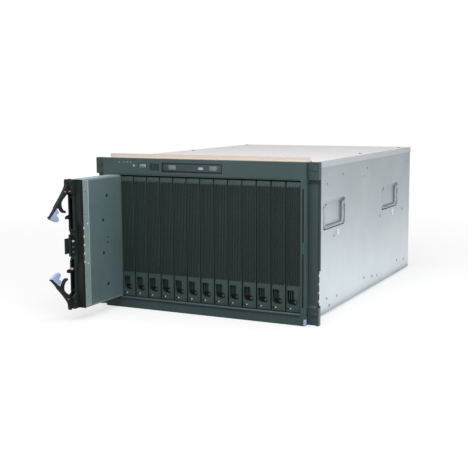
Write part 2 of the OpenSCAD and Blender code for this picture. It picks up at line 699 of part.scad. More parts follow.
module side_handle(front_leg) {
    y0 = front_leg;
    y1 = front_leg + bail_span;
    grip_z = bail_z - bail_h;
    bend = 8;
    stub = bail_r + play + lug_t;
    for (y = [y0, y1]) {
        translate([bail_x, y, grip_z + bend]) cylinder(h = bail_h - bend, r = bail_r);
        translate([bail_x, y, bail_z]) sphere(bail_r);
    }
    translate([bail_x, y0 + bend, grip_z]) rotate([-90, 0, 0]) cylinder(h = bail_span - 2 * bend, r = bail_r);
    translate([bail_x, y0, bail_z]) rotate([90, 0, 0]) cylinder(h = stub, r = bail_r);
    translate([bail_x, y1, bail_z]) rotate([-90, 0, 0]) cylinder(h = stub, r = bail_r);
    translate([bail_x, y0 + bend, grip_z + bend]) rotate([0, 90, 0]) rotate([0, 0, 270])
        rotate_extrude(angle = 90) translate([bend, 0]) circle(bail_r);
    translate([bail_x, y1 - bend, grip_z + bend]) rotate([0, 90, 0])
        rotate_extrude(angle = 90) translate([bend, 0]) circle(bail_r);
}

module handle_right_front() color(steel) from_rack_plane() side_handle(bail_fronts[0]);
module handle_right_rear() color(steel) from_rack_plane() side_handle(bail_fronts[1]);
module handle_left_front() color(steel) from_rack_plane() mirror([1, 0, 0]) side_handle(bail_fronts[0]);
module handle_left_rear() color(steel) from_rack_plane() mirror([1, 0, 0]) side_handle(bail_fronts[1]);

// ---- Blade fillers ----

filler_z = play + 0.7;                          // underside of a filler's face above the bay floor
recess_x = [2.2, 16.6];
recess_z = [21.5, 39.5];
recess_depth = 9;
knob_x = 19.6;
knob_z = 19.4;

module filler_recess2(grow) {
    box2(recess_x[0] - grow, recess_x[1] + grow, recess_z[0] - grow, recess_z[1] + grow);
    translate([knob_x, knob_z]) circle(5.8 + grow);
}

module filler(bay) color(slate) from_rack_plane()
    translate([(bay - 1 - bay_count / 2) * bay_pitch + bay_gap / 2, face_y + filler_set_back, bay_floor]) {
        top = blade_h + 2 * play - 4.2;
        wall = 1.2;
        difference() {
            union() {
                front_slab(0, filler_t) difference() {
                    box2(0, blade_w, filler_z, top);
                    hole_field(1.2, blade_w - 1.2, 49, top - 10, mesh_hole, mesh_step);
                    filler_recess2(0);
                    translate([9.3, 6.8]) circle(1.4);
                }
                for (x = [0, blade_w - wall]) block(x, x + wall, filler_t - eps, 14, filler_z, top);
                block(0, blade_w, filler_t - eps, 14, filler_z, filler_z + wall);
                block(0, blade_w, filler_t - eps, 14, top - wall, top);
                front_slab(filler_t - eps, recess_depth) filler_recess2(wall);
                translate([9.3, filler_t - eps, 6.8]) rotate([-90, 0, 0]) cylinder(h = 3, r = 2.4);
            }
            front_slab(-1, recess_depth + 1) filler_recess2(0);
            translate([9.3, -1, 6.8]) rotate([-90, 0, 0]) cylinder(h = 5, r = 1.4);
        }
        for (x = [5, 8.8, 12.6]) block(x, x + 1.2, recess_depth - 2, recess_depth + eps, recess_z[0], recess_z[1]);
        translate([knob_x, recess_depth + eps, knob_z]) rotate([90, 0, 0]) cylinder(h = recess_depth - 1.5, r = 3);
        translate([9.3, 4.1, 6.8]) rotate([90, 0, 0]) cylinder(h = 4, r = 1.3);
        // runners at the floor and the ceiling of the bay
        for (z = [play, blade_h + play - runner_h + 0.2])
            difference() {
                block(runner_in, blade_w - runner_in, 3, filler_d, z, z + runner_h - 0.2);
                for (k = [0 : 3]) block(runner_in + 3, blade_w - runner_in - 3, 20 + k * 17, 32 + k * 17, z - 1, z + runner_h + 1);
            }
        block(runner_in, blade_w - runner_in, 3, 14, top - wall, blade_h + play - runner_h + 0.2 + eps);
    }

module filler_02() filler(2);
module filler_03() filler(3);
module filler_04() filler(4);
module filler_05() filler(5);
module filler_06() filler(6);
module filler_07() filler(7);
module filler_08() filler(8);
module filler_09() filler(9);
module filler_10() filler(10);
module filler_11() filler(11);
module filler_12() filler(12);
module filler_13() filler(13);
module filler_14() filler(14);

// ---- Blade ----

upper_pin_z = blade_h - pin_in;
lower_pin_z = pin_in;
panel_z = [102, 138];                           // control panel, from the blade's underside
window_top = 22;                                // lever window, measured from the pin
window_end = 80;
crown_r = 300;                                  // curve of the face's right side, seen from the side

module in_bay_one() from_rack_plane()
    translate([-bay_count / 2 * bay_pitch + bay_gap / 2, blade_y, blade_z]) children();

module blade_section2(grow) {
    box2(runner_in + grow, blade_w - runner_in - grow, grow, blade_h - grow);
    box2(grow, blade_w - grow, runner_h + grow, blade_h - runner_h - grow);
}

module blade_tray() color([0.66, 0.71, 0.72]) in_bay_one() {
    rear = blade_d - 6;
    difference() {
        front_slab(2, rear - 2) difference() {
            blade_section2(0);
            blade_section2(blade_sheet);
        }
        // the cover closes this side behind the front frame
        block(blade_w - blade_sheet - 0.5, blade_w + 1, 2 + strip_d, rear + 1, runner_h - 0.5, blade_h - runner_h + 0.5);
        for (z = [[10, 222], [10, 179], [10, 61], [10, 20]])
            translate([blade_w - 3, z[0], z[1]]) rotate([0, 90, 0]) cylinder(h = 5, r = 1.6);
        for (z = [88.9, 105.1, 121.3, 137.5, 153.7])
            block(blade_w - 3, blade_w + 1, 1, 4, z - 2.5, z + 2.5);
    }
    difference() {
        front_slab(rear - blade_sheet, blade_sheet) blade_section2(blade_sheet / 2);
        for (z = [64, 154]) block(3, 16, rear - 3, rear + 1, z, z + 42);
    }
    for (y = [40, blade_d / 2, blade_d - 40], z = [24, blade_h - 24])
        translate([blade_sheet - eps, y, z]) rotate([0, 90, 0]) cylinder(h = 3.4, r = 3);
}

module blade_cover() color([0.42, 0.50, 0.52]) in_bay_one() {
    rear = blade_d - 6;
    y0 = 2 + strip_d + seat;
    x0 = blade_w - blade_sheet;
    z0 = runner_h + 0.1;
    z1 = blade_h - runner_h - 0.1;
    difference() {
        block(x0, blade_w + 0.3, y0, rear - blade_sheet - seat, z0, z1);
        for (p = [[79.6, 208.5], [65.4, 162], [65, 97.5], [78, 34], [210, 208], [blade_d - 140, 120], [blade_d - 60, 60]])
            translate([blade_w - 3, p[0], p[1]]) rotate([0, 90, 0]) cylinder(h = 5, r = 3.1);
        for (p = [[81, 127], [79.5, 116.5], [200, 60]])
            translate([blade_w - 3, p[0], p[1]]) rotate([0, 90, 0]) cylinder(h = 5, r = 1.6);
    }
    for (z = [z0 + blade_sheet + seat, z1 - 2 * blade_sheet - seat])
        block(blade_w - 10, x0 + eps, y0, rear - blade_sheet - seat, z, z + blade_sheet);
}

// Outline of the lever side, seen from the side: proud of the face, higher around the pins
module lever_side2() polygon([[2, 0], [-14, 0], [-17, 3], [-17, 22], [-left_proud, 30], [-left_proud, panel_z[0] - 12],
    [-3, panel_z[0] - 6], [-3, panel_z[1] + 6], [-left_proud, panel_z[1] + 12],
    [-left_proud, blade_h - 30], [-17, blade_h - 22], [-17, blade_h - 3], [-14, blade_h], [2, blade_h]]);

module blade_bezel() color(coal) in_bay_one() {
    slot_x = lever_x - play;
    slot_w2 = lever_w + 2 * play;
    difference() {
        union() {
            front_slab(0, 2 - seat) difference() {
                box2(0, blade_w, 0, blade_h);
                hole_field(left_half + 2, blade_w - 2, panel_z[0] - 12, panel_z[1] + 24, 3, 3.9);
            }
            // plug inside the tray
            front_slab(2 - seat - eps, bezel_plug) difference() {
                box2(runner_in + blade_sheet + seat, blade_w - runner_in - blade_sheet - seat, blade_sheet + seat, blade_h - blade_sheet - seat);
                box2(left_half + 2, blade_w - 4, 6, blade_h - 6);
            }
            side_slab(0, left_half + 2) lever_side2();
            // rounded shoulder of the right side, above and below the perforated field
            for (z = [[4, panel_z[0] - 16], [panel_z[1] + 26, blade_h - 4]])
                side_slab(left_half + 2 - eps, blade_w - left_half - 4) intersection() {
                    box2(-5, eps, z[0], z[1]);
                    translate([crown_r - 4, (z[0] + z[1]) / 2]) circle(crown_r, $fn = 240);
                }
        }
        // slots in which the levers swing, from each end down to the latch
        for (m = [0, 1]) translate([0, 0, m * blade_h]) mirror([0, 0, m]) {
            block(slot_x, slot_x + slot_w2, -30, -3.5, -1, lower_pin_z + window_end);
            block(slot_x, slot_x + slot_w2, -30, bezel_plug + 6, lower_pin_z + window_top, lower_pin_z + window_end);
            translate([slot_x, pin_y, lower_pin_z]) rotate([0, 90, 0]) cylinder(h = slot_w2, r = 20);
            translate([-1, pin_y, lower_pin_z]) rotate([0, 90, 0]) cylinder(h = left_half + 4, r = lever_pin_r + 0.02);
        }
        // control panel behind its door
        block(1.6, left_half, -4, -1, panel_z[0], panel_z[1]);
        for (z = button_z) translate([button_x, 6, z]) rotate([90, 0, 0]) cylinder(h = 12, r = 2.3);
    }
    // latch tabs beside the levers' tips
    for (m = [0, 1]) translate([0, 0, m * blade_h]) mirror([0, 0, m])
        side_slab(0, lever_x - 2 * play) polygon([[0, 66], [-14, 68], [-17, 70], [-17, 74], [0, 76]]);
    // hinge barrel of the door
    for (z = [[panel_z[0] - 3, panel_z[0] + 3], [panel_z[1] - 3, panel_z[1] + 3]])
        difference() {
            union() {
                translate([door_x, door_y, z[0]]) cylinder(h = z[1] - z[0], r = 1.9);
                block(door_x - 1.9, door_x + 1.9, door_y, -2, z[0], z[1]);
            }
            translate([door_x, door_y, z[0] - 1]) cylinder(h = 8, r = 0.85);
        }
}

button_x = 6;
button_z = [107, 117, 128];
door_x = 1.9;
door_y = -7.2;

module panel_button(z, r) translate([button_x, 3, z]) rotate([90, 0, 0]) {
    cylinder(h = 5.6, r = r);
    cylinder(h = 2.4, r = 2.15);
}

module power_button() color("white") in_bay_one() panel_button(button_z[2], 2.15);
module media_button() color([0.5, 0.55, 0.56]) in_bay_one() panel_button(button_z[1], 2.1);
module console_button() color([0.5, 0.55, 0.56]) in_bay_one() panel_button(button_z[0], 2.1);

module control_door() color(coal) in_bay_one() {
    z0 = panel_z[0] + 3.3;
    z1 = panel_z[1] - 3.3;
    translate([door_x, door_y, z0 - 3.3 - 2.6]) cylinder(h = z1 - z0 + 6.6 + 5.2, r = 0.75);
    translate([door_x, door_y, z0]) cylinder(h = z1 - z0, r = 1.5);
    block(door_x - 0.9, door_x + 0.9, door_y - 15, door_y, z0, z1);
    block(door_x - 0.9, door_x + 2.4, door_y - 15, door_y - 13.4, z0 + 4, z1 - 4);
}

module blade_board() color([0.08, 0.30, 0.20]) in_bay_one() {
    block(4.5, 6.1, bezel_plug + 6, blade_d - 8, 8, blade_h - 8);
    for (z = [65, 155]) difference() {
        block(3.6, 15, blade_d - 14, blade_d, z, z + 40);
        for (k = [0 : 6]) block(7, 12, blade_d - 8, blade_d + 1, z + 3 + k * 5, z + 6 + k * 5);
    }
    block(6.1 - eps, 16, 190, 250, 100, 140);
    block(6.1 - eps, 13, blade_d - 100, blade_d - 60, 40, 80);
}

module heat_sinks() color([0.75, 0.76, 0.78]) in_bay_one() for (z = [22, 138]) {
    block(6.1 + seat, 10, 70, 150, z, z + 80);
    for (k = [0 : 13]) block(10 - eps, 25, 70, 150, z + 1 + k * 5.9, z + 2.2 + k * 5.9);
}

module memory_modules() color([0.12, 0.35, 0.24]) in_bay_one() for (k = [0 : 7]) {
    z = 24 + k * 10 + (k > 3 ? 98 : 0);
    block(6.1 + seat, 10, 180, 318, z, z + 5);
    block(9.9, 25, 182, 316, z + 2, z + 3.3);
    for (j = [0 : 7]) block(13, 22, 187 + j * 16, 199 + j * 16, z + 1, z + 4.3);
}

// ---- Levers ----

module lever_outline2() {
    polygon([[-7, -9], [-5.5, -15.5], [-3.5, -16], [1, -9.5], [10, -6.5], [28, -4.2], [50, -3.2], [lever_l, -1.8], [lever_l, 0],
        [54, 1.2], [52, 4], [46, 3.6], [29, 2.8], [14, 5], [-5, 6.5], [-12, 2], [-14.5, -7], [-13, -8.5], [-10, -3]]);
    intersection() {
        polygon([[29, 15], [29, -8], [60, -8], [60, 40]]);
        difference() {
            translate([29, 15]) circle(17.4);
            translate([29, 15]) circle(13.4);
        }
    }
    translate([29 + 15.4 * cos(38.9), 15 + 15.4 * sin(38.9)]) circle(2);
}

module grip_outline2() polygon([[54, 1.4], [55, 11], [57.5, 12.5], [59, 9.5], [61.5, 8.5], [63, 12], [62.5, 19], [65, 21.5],
    [70, 21], [75, 12], [lever_l, 3], [lever_l, 0.2], [lever_l - 2, 0.2]]);

// Turns an outline (along the arm, towards the blade) to its place at the upper or lower pin
module at_pin(m) in_bay_one() translate([0, 0, m * blade_h]) mirror([0, 0, m])
    translate([0, pin_y, lower_pin_z]) rotate([lever_open, 0, 0]) children();

module lever() difference() {
    side_slab(lever_x, lever_w) difference() {
        mirror_outline() lever_outline2();
        circle(lever_pin_r + 0.08);
    }
    // the tip is thinned where the grip is clipped on
    side_slab(lever_x - 1, 2.6) mirror_outline() box2(56, lever_l - 3, -20, 20);
}

module mirror_outline() multmatrix([[0, 1, 0, 0], [1, 0, 0, 0], [0, 0, 1, 0], [0, 0, 0, 1]]) children();

module grip() side_slab(lever_x, lever_w) mirror_outline() grip_outline2();

module lower_lever() color(coal) at_pin(0) lever();
module upper_lever() color(coal) at_pin(1) lever();
module lower_lever_grip() color(pale_blue) at_pin(0) grip();
module upper_lever_grip() color(pale_blue) at_pin(1) grip();

module lever_pins() color([0.72, 0.45, 0.28]) in_bay_one() for (z = [lower_pin_z, upper_pin_z])
    translate([0.2, pin_y, z]) rotate([0, 90, 0]) cylinder(h = left_half + 1.6, r = lever_pin_r);

base_shell();
top_cover();
bezel_catch_strip();
rack_flange_left();
rack_flange_right();
front_bezel();
guide_plate_bottom();
guide_plate_top();
midplane_board();
rear_frame();
case_fasteners();
optical_drive();
usb_port();
panel_lights();
disc_tray();
eject_button();
handle_left_front();
handle_left_rear();
handle_right_front();
handle_right_rear();
filler_02();
filler_03();
filler_04();
filler_05();
filler_06();
filler_07();
filler_08();
filler_09();
filler_10();
filler_11();
filler_12();
filler_13();
filler_14();
blade_tray();
blade_cover();
blade_bezel();
blade_board();
heat_sinks();
memory_modules();
lever_pins();
upper_lever();
lower_lever();
upper_lever_grip();
lower_lever_grip();
power_button();
media_button();
console_button();
control_door();
io_module_1();
io_module_2();
management_module();
rear_blanks();
power_module_1();
power_module_2();
power_module_3();
power_module_4();
blower_upper();
blower_lower();
impeller_upper();
impeller_lower();
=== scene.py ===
import json
import math
import bpy
from mathutils import Matrix, Vector


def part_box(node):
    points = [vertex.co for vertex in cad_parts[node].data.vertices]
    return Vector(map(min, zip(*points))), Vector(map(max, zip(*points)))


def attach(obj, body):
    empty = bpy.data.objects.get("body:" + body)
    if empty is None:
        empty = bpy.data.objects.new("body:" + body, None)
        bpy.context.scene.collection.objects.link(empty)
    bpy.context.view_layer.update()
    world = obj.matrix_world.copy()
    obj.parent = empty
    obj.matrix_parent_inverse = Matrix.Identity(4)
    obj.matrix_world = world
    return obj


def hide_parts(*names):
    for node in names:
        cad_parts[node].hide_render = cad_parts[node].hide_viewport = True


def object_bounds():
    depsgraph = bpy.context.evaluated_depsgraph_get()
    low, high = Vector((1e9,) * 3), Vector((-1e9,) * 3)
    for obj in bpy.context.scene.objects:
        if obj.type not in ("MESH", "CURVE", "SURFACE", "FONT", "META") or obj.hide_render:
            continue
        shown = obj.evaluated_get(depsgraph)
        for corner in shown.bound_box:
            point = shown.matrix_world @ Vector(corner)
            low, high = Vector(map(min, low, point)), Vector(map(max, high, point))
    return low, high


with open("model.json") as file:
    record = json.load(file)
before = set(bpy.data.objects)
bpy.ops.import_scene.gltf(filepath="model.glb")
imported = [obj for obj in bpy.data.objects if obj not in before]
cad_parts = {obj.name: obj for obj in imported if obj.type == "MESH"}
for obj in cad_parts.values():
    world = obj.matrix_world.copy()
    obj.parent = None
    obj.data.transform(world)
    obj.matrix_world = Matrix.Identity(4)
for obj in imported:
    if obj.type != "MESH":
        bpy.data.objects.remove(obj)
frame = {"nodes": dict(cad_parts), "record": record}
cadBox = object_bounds()
nodes = frame["nodes"]
bodies = frame["record"]["behaviour"]["bodies"]
slotOf = {part["node"]: part["material_slot"] for part in frame["record"]["subparts"]}
mm = 0.001
print("frame loaded:", len(nodes), "nodes")


def bodyOf(nodeName):
    return next(body for body, members in bodies.items() if nodeName in members)


def rgb(red, green, blue):
    # 0..255 screen values to the linear colour that a shader takes
    def linear(value):
        value = value / 255
        return value / 12.92 if value <= 0.04045 else ((value + 0.055) / 1.055) ** 2.4
    return (linear(red), linear(green), linear(blue), 1.0)


# Finishes

def newFinish(name, roughness, metallic=0.0):
    finish = bpy.data.materials.new(name)
    finish.use_nodes = True
    shader = finish.node_tree.nodes["Principled BSDF"]
    shader.inputs["Roughness"].default_value = roughness
    shader.inputs["Metallic"].default_value = metallic
    return finish, finish.node_tree, shader


def objectPattern(tree, scale=(1.0, 1.0, 1.0)):
    coordinates = tree.nodes.new("ShaderNodeTexCoord")
    stretch = tree.nodes.new("ShaderNodeMapping")
    stretch.inputs["Scale"].default_value = scale
    tree.links.new(coordinates.outputs["Object"], stretch.inputs["Vector"])
    return stretch.outputs["Vector"]


def noise(tree, vector, scale, detail=3.0, rough=0.5):
    cloud = tree.nodes.new("ShaderNodeTexNoise")
    cloud.inputs["Scale"].default_value = scale
    cloud.inputs["Detail"].default_value = detail
    cloud.inputs["Roughness"].default_value = rough
    tree.links.new(vector, cloud.inputs["Vector"])
    return cloud.outputs["Fac"]


def ramp(tree, value, stops):
    # stops are (position, colour)
    band = tree.nodes.new("ShaderNodeValToRGB")
    for extra in range(len(stops) - 2):
        band.color_ramp.elements.new(0.5)
    for stop, (position, colour) in zip(band.color_ramp.elements, stops):
        stop.position = position
        stop.color = colour
    tree.links.new(value, band.inputs["Fac"])
    return band.outputs["Color"]


def mixColour(tree, factor, first, second):
    blend = tree.nodes.new("ShaderNodeMix")
    blend.data_type = "RGBA"
    tree.links.new(factor, blend.inputs["Factor"])
    for value, socket in ((first, blend.inputs["A"]), (second, blend.inputs["B"])):
        if isinstance(value, tuple):
            socket.default_value = value
        else:
            tree.links.new(value, socket)
    return blend.outputs["Result"]


def arithmetic(tree, operation, first, second):
    step = tree.nodes.new("ShaderNodeMath")
    step.operation = operation
    for value, socket in ((first, step.inputs[0]), (second, step.inputs[1])):
        if isinstance(value, (int, float)):
            socket.default_value = value
        else:
            tree.links.new(value, socket)
    return step.outputs["Value"]


def fade(tree, value, start, end, first, last):
    # follows a value from start to end, and gives first to last
    spread = tree.nodes.new("ShaderNodeMapRange")
    for socket, limit in (("From Min", start), ("From Max", end), ("To Min", first), ("To Max", last)):
        spread.inputs[socket].default_value = limit
    tree.links.new(value, spread.inputs["Value"])
    return spread.outputs["Result"]


def between(tree, value, low, high):
    # stretches a 0..1 value to low..high
    return fade(tree, value, 0.0, 1.0, low, high)


def grainBump(tree, shader, height, strength, distance):
    bump = tree.nodes.new("ShaderNodeBump")
    bump.inputs["Strength"].default_value = strength
    bump.inputs["Distance"].default_value = distance
    tree.links.new(height, bump.inputs["Height"])
    tree.links.new(bump.outputs["Normal"], shader.inputs["Normal"])


def edgeWearAndHighlight(tree, radius, low, high):
    # 0 on flat stretches, 1 along sharp edges, broken up by a fine noise; the edges it pales are partly wear
    # and partly a painted highlight
    rounded = tree.nodes.new("ShaderNodeBevel")
    rounded.samples = 4
    rounded.inputs["Radius"].default_value = radius
    flat = tree.nodes.new("ShaderNodeNewGeometry")
    facing = tree.nodes.new("ShaderNodeVectorMath")
    facing.operation = "DOT_PRODUCT"
    tree.links.new(rounded.outputs["Normal"], facing.inputs[0])
    tree.links.new(flat.outputs["Normal"], facing.inputs[1])
    edge = fade(tree, facing.outputs["Value"], 0.995, 0.86, 0.0, 1.0)
    breaks = between(tree, noise(tree, objectPattern(tree), 180.0, 4.0), low, high)
    wornAndLitEdge = tree.nodes.new("ShaderNodeMath")
    wornAndLitEdge.operation = "MULTIPLY"
    wornAndLitEdge.use_clamp = True
    tree.links.new(edge, wornAndLitEdge.inputs[0])
    tree.links.new(breaks, wornAndLitEdge.inputs[1])
    return wornAndLitEdge.outputs["Value"]


def zincSteel(name, pale, dark, metallic=0.35):
    # plated sheet: soft clouds, a fine rolled grain along the case, bright cut edges that are partly wear and
    # partly a painted highlight
    finish, tree, shader = newFinish(name, 0.42, metallic)
    clouds = noise(tree, objectPattern(tree), 5.5, 5.0, 0.6)
    grain = noise(tree, objectPattern(tree, (900.0, 14.0, 900.0)), 1.0, 4.0, 0.6)
    sheet = ramp(tree, clouds, ((0.3, dark), (0.7, pale)))
    streaked = mixColour(tree, between(tree, grain, 0.0, 0.22), sheet, dark)
    # near-white edges: partly cut-edge wear, partly a painted highlight
    edged = mixColour(tree, edgeWearAndHighlight(tree, 0.0007, 0.2, 0.9), streaked, rgb(236, 240, 243))
    tree.links.new(edged, shader.inputs["Base Color"])
    tree.links.new(between(tree, clouds, 0.36, 0.5), shader.inputs["Roughness"])
    grainBump(tree, shader, grain, 0.12, 0.0001)
    return finish


def coverSheet(name, pale, lip):
    # the same plated sheet, with painted light: paler on the flat top, as lit from above, than on the folded
    # lips
    finish, tree, shader = newFinish(name, 0.42, 0.25)
    clouds = noise(tree, objectPattern(tree), 5.0, 5.0, 0.6)
    grain = noise(tree, objectPattern(tree, (900.0, 14.0, 900.0)), 1.0, 4.0, 0.6)
    facing = tree.nodes.new("ShaderNodeSeparateXYZ")
    coordinates = tree.nodes.new("ShaderNodeTexCoord")
    tree.links.new(coordinates.outputs["Normal"], facing.inputs["Vector"])
    dull = tuple(part * 0.9 for part in pale[:3]) + (1.0,)
    flat = mixColour(tree, between(tree, clouds, 0.0, 0.8), pale, dull)
    # painted light: faces turned upwards take the paler top colour
    sheet = mixColour(tree, facing.outputs["Z"], lip, flat)
    tree.links.new(mixColour(tree, between(tree, grain, 0.0, 0.2), sheet, dull), shader.inputs["Base Color"])
    tree.links.new(between(tree, clouds, 0.36, 0.5), shader.inputs["Roughness"])
    grainBump(tree, shader, grain, 0.12, 0.0001)
    return finish


def paintedSheet(name, colour, roughness=0.5):
    # powder coat: an even colour with a very fine orange peel
    finish, tree, shader = newFinish(name, roughness)
    clouds = noise(tree, objectPattern(tree), 6.0, 4.0)
    peel = noise(tree, objectPattern(tree), 1500.0, 2.0)
    darker = tuple(part * 0.93 for part in colour[:3]) + (1.0,)
    tree.links.new(ramp(tree, clouds, ((0.35, darker), (0.65, colour))), shader.inputs["Base Color"])
    tree.links.new(between(tree, peel, roughness - 0.06, roughness + 0.08), shader.inputs["Roughness"])
    grainBump(tree, shader, peel, 0.15, 0.0001)
    return finish


def mouldedPlastic(name, colour, roughness=0.5, grain=1200.0, wearAndHighlight=0.35):
    # textured mould surface, slightly uneven in colour, edges a little paler: partly rubbed wear, partly a
    # painted highlight
    finish, tree, shader = newFinish(name, roughness)
    clouds = noise(tree, objectPattern(tree), 9.0, 5.0, 0.6)
    speck = noise(tree, objectPattern(tree), grain, 2.0, 0.6)
    darker = tuple(part * 0.82 for part in colour[:3]) + (1.0,)
    paler = tuple(min(1.0, part * 1.9 + 0.012) for part in colour[:3]) + (1.0,)
    body = ramp(tree, clouds, ((0.35, darker), (0.65, colour)))
    # paler edges: partly rubbed wear, partly a painted highlight
    rubbedAndLit = mixColour(tree, edgeWearAndHighlight(tree, 0.0006, 0.0, wearAndHighlight), body, paler)
    tree.links.new(rubbedAndLit, shader.inputs["Base Color"])
    tree.links.new(between(tree, speck, roughness - 0.07, roughness + 0.1), shader.inputs["Roughness"])
    grainBump(tree, shader, speck, 0.3, 0.0001)
    return finish


def glossyPlastic(name, colour, roughness=0.22):
    finish, tree, shader = newFinish(name, roughness)
    clouds = noise(tree, objectPattern(tree), 40.0, 3.0)
    darker = tuple(part * 0.88 for part in colour[:3]) + (1.0,)
    tree.links.new(ramp(tree, clouds, ((0.35, darker), (0.65, colour))), shader.inputs["Base Color"])
    tree.links.new(between(tree, clouds, roughness - 0.04, roughness + 0.06), shader.inputs["Roughness"])
    shader.inputs["Coat Weight"].default_value = 0.25
    return finish


def bareMetal(name, colour, roughness, along=(700.0, 20.0, 700.0)):
    finish, tree, shader = newFinish(name, roughness, 0.9)
    grain = noise(tree, objectPattern(tree, along), 1.0, 4.0, 0.6)
    darker = tuple(part * 0.75 for part in colour[:3]) + (1.0,)
    tree.links.new(ramp(tree, grain, ((0.3, darker), (0.7, colour))), shader.inputs["Base Color"])
    tree.links.new(between(tree, grain, roughness - 0.05, roughness + 0.12), shader.inputs["Roughness"])
    grainBump(tree, shader, grain, 0.1, 0.0001)
    return finish


def circuitBoard(name, colour):
    # solder mask with tracks: straight bands from a brick pattern, tiny copper dots
    finish, tree, shader = newFinish(name, 0.38)
    tracks = tree.nodes.new("ShaderNodeTexBrick")
    tracks.inputs["Scale"].default_value = 260.0
    tracks.inputs["Mortar Size"].default_value = 0.035
    tracks.inputs["Color1"].default_value = colour
    tracks.inputs["Color2"].default_value = tuple(part * 0.8 for part in colour[:3]) + (1.0,)
    tracks.inputs["Mortar"].default_value = tuple(min(1.0, part * 1.7) for part in colour[:3]) + (1.0,)
    tree.links.new(objectPattern(tree), tracks.inputs["Vector"])
    dots = tree.nodes.new("ShaderNodeTexVoronoi")
    dots.inputs["Scale"].default_value = 240.0
    tree.links.new(objectPattern(tree), dots.inputs["Vector"])
    pads = ramp(tree, dots.outputs["Distance"], ((0.08, (1, 1, 1, 1)), (0.12, (0, 0, 0, 1))))
    printed = mixColour(tree, pads, tracks.outputs["Color"], rgb(190, 170, 120))
    tree.links.new(printed, shader.inputs["Base Color"])
    return finish


def catchStripFinish():
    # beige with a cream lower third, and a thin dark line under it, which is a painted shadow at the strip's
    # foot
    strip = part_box("bezel_catch_strip")
    finish, tree, shader = newFinish("catchStripBeige", 0.5)
    split = tree.nodes.new("ShaderNodeSeparateXYZ")
    tree.links.new(objectPattern(tree), split.inputs["Vector"])
    height = fade(tree, split.outputs["Z"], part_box("top_cover")[1].z, strip[1].z, 0.0, 1.0)
    # the two dark brown stops at the foot are a painted shadow
    bandsAndShadowLine = ramp(tree, height, (
        (0.0, rgb(120, 96, 84)), (0.10, rgb(126, 102, 88)), (0.16, rgb(250, 240, 222)),
        (0.42, rgb(250, 240, 222)), (0.52, rgb(240, 226, 215))))
    clouds = noise(tree, objectPattern(tree), 60.0, 3.0)
    aged = mixColour(tree, between(tree, clouds, 0.0, 0.25), bandsAndShadowLine, rgb(228, 214, 202))
    tree.links.new(aged, shader.inputs["Base Color"])
    grainBump(tree, shader, noise(tree, objectPattern(tree), 1400.0, 2.0), 0.2, 0.0001)
    return finish


finishes = {
    "caseSteel": zincSteel("caseZincSteel", rgb(192, 201, 205), rgb(174, 184, 189), 0.6),
    # the paler colour is painted light on the upper face of the top cover
    "coverSteel": coverSheet("topCoverSteel", rgb(227, 225, 225), rgb(192, 201, 205)),
    "stripBeige": catchStripFinish(),
    "flangeBlack": mouldedPlastic("flangeCoat", rgb(54, 71, 72), 0.45, 1500.0, 0.25),
    "bezelSlate": mouldedPlastic("bezelSlate", rgb(62, 82, 83), 0.42, 1300.0, 0.3),
    "fillerPlastic": mouldedPlastic("fillerPlastic", rgb(58, 77, 74), 0.5, 1500.0, 0.3),
    "bladeSteel": zincSteel("bladeSheet", rgb(184, 204, 207), rgb(156, 178, 181), 0.5),
    "bladeCover": zincSteel("bladeCoverSheet", rgb(134, 157, 160), rgb(108, 132, 136), 0.5),
    "bladeCoal": mouldedPlastic("bladeCoal", rgb(9, 25, 24), 0.56, 1400.0, 0.3),
    "boardGreen": circuitBoard("boardGreen", rgb(30, 92, 66)),
    "finMetal": bareMetal("finAluminium", rgb(205, 208, 212), 0.35),
    "pinCopper": bareMetal("pinCopper", rgb(196, 138, 96), 0.3, (20.0, 700.0, 700.0)),
    "touchBlue": glossyPlastic("touchPointBlue", rgb(172, 188, 230), 0.4),
    "buttonWhite": glossyPlastic("buttonWhite", rgb(236, 240, 242)),
    "buttonGrey": glossyPlastic("buttonGrey", rgb(96, 112, 114), 0.3),
    "driveGrey": mouldedPlastic("driveFront", rgb(60, 74, 75), 0.4, 1500.0, 0.3),
    "ejectPale": glossyPlastic("ejectPale", rgb(176, 190, 214), 0.35),
    "lightPipe": glossyPlastic("lightPipe", rgb(150, 170, 168), 0.25),
    "socketShell": bareMetal("socketShell", rgb(210, 212, 214), 0.25),
    "moduleGrey": paintedSheet("moduleFace", rgb(150, 154, 158), 0.42),
    "tabBright": glossyPlastic("tabBright", rgb(240, 246, 248), 0.35),
    # a paler copy of the blade sheet: painted highlight on the cover's folded edge
    "foldPaintedHighlight": zincSteel("foldEdge", rgb(196, 212, 214), rgb(170, 188, 190), 0.5),
    # a darker copy of the case steel: painted shade for the handle wires, which lie in shadow
    "handleSteelShaded": zincSteel("handleSteelShaded", rgb(170, 179, 183), rgb(150, 160, 164), 0.3),
    "rivetSteel": zincSteel("rivetSteel", rgb(132, 142, 147), rgb(110, 120, 125), 0.4),
    "padGrey": paintedSheet("padGrey", rgb(112, 130, 130), 0.5),
    # near-black for painted shade: in the cover holes, behind the post slots and round the drive tray
    "paintedShadeBlack": mouldedPlastic("paintedShadeBlack", rgb(7, 11, 11), 0.6, 900.0, 0.0),
    "barCopper": bareMetal("barCopper", rgb(236, 196, 156), 0.4, (20.0, 700.0, 700.0)),
    # near-black, for the painted shade sheets inside the fillers
    "shadeSheetBlack": mouldedPlastic("shadeSheetBlack", rgb(8, 13, 12), 0.8, 900.0, 0.0),
    "pinWhite": glossyPlastic("pinWhite", rgb(214, 224, 224), 0.3),
    "blowerBlack": mouldedPlastic("blowerBlack", rgb(44, 47, 49), 0.45, 1200.0, 0.3),
}

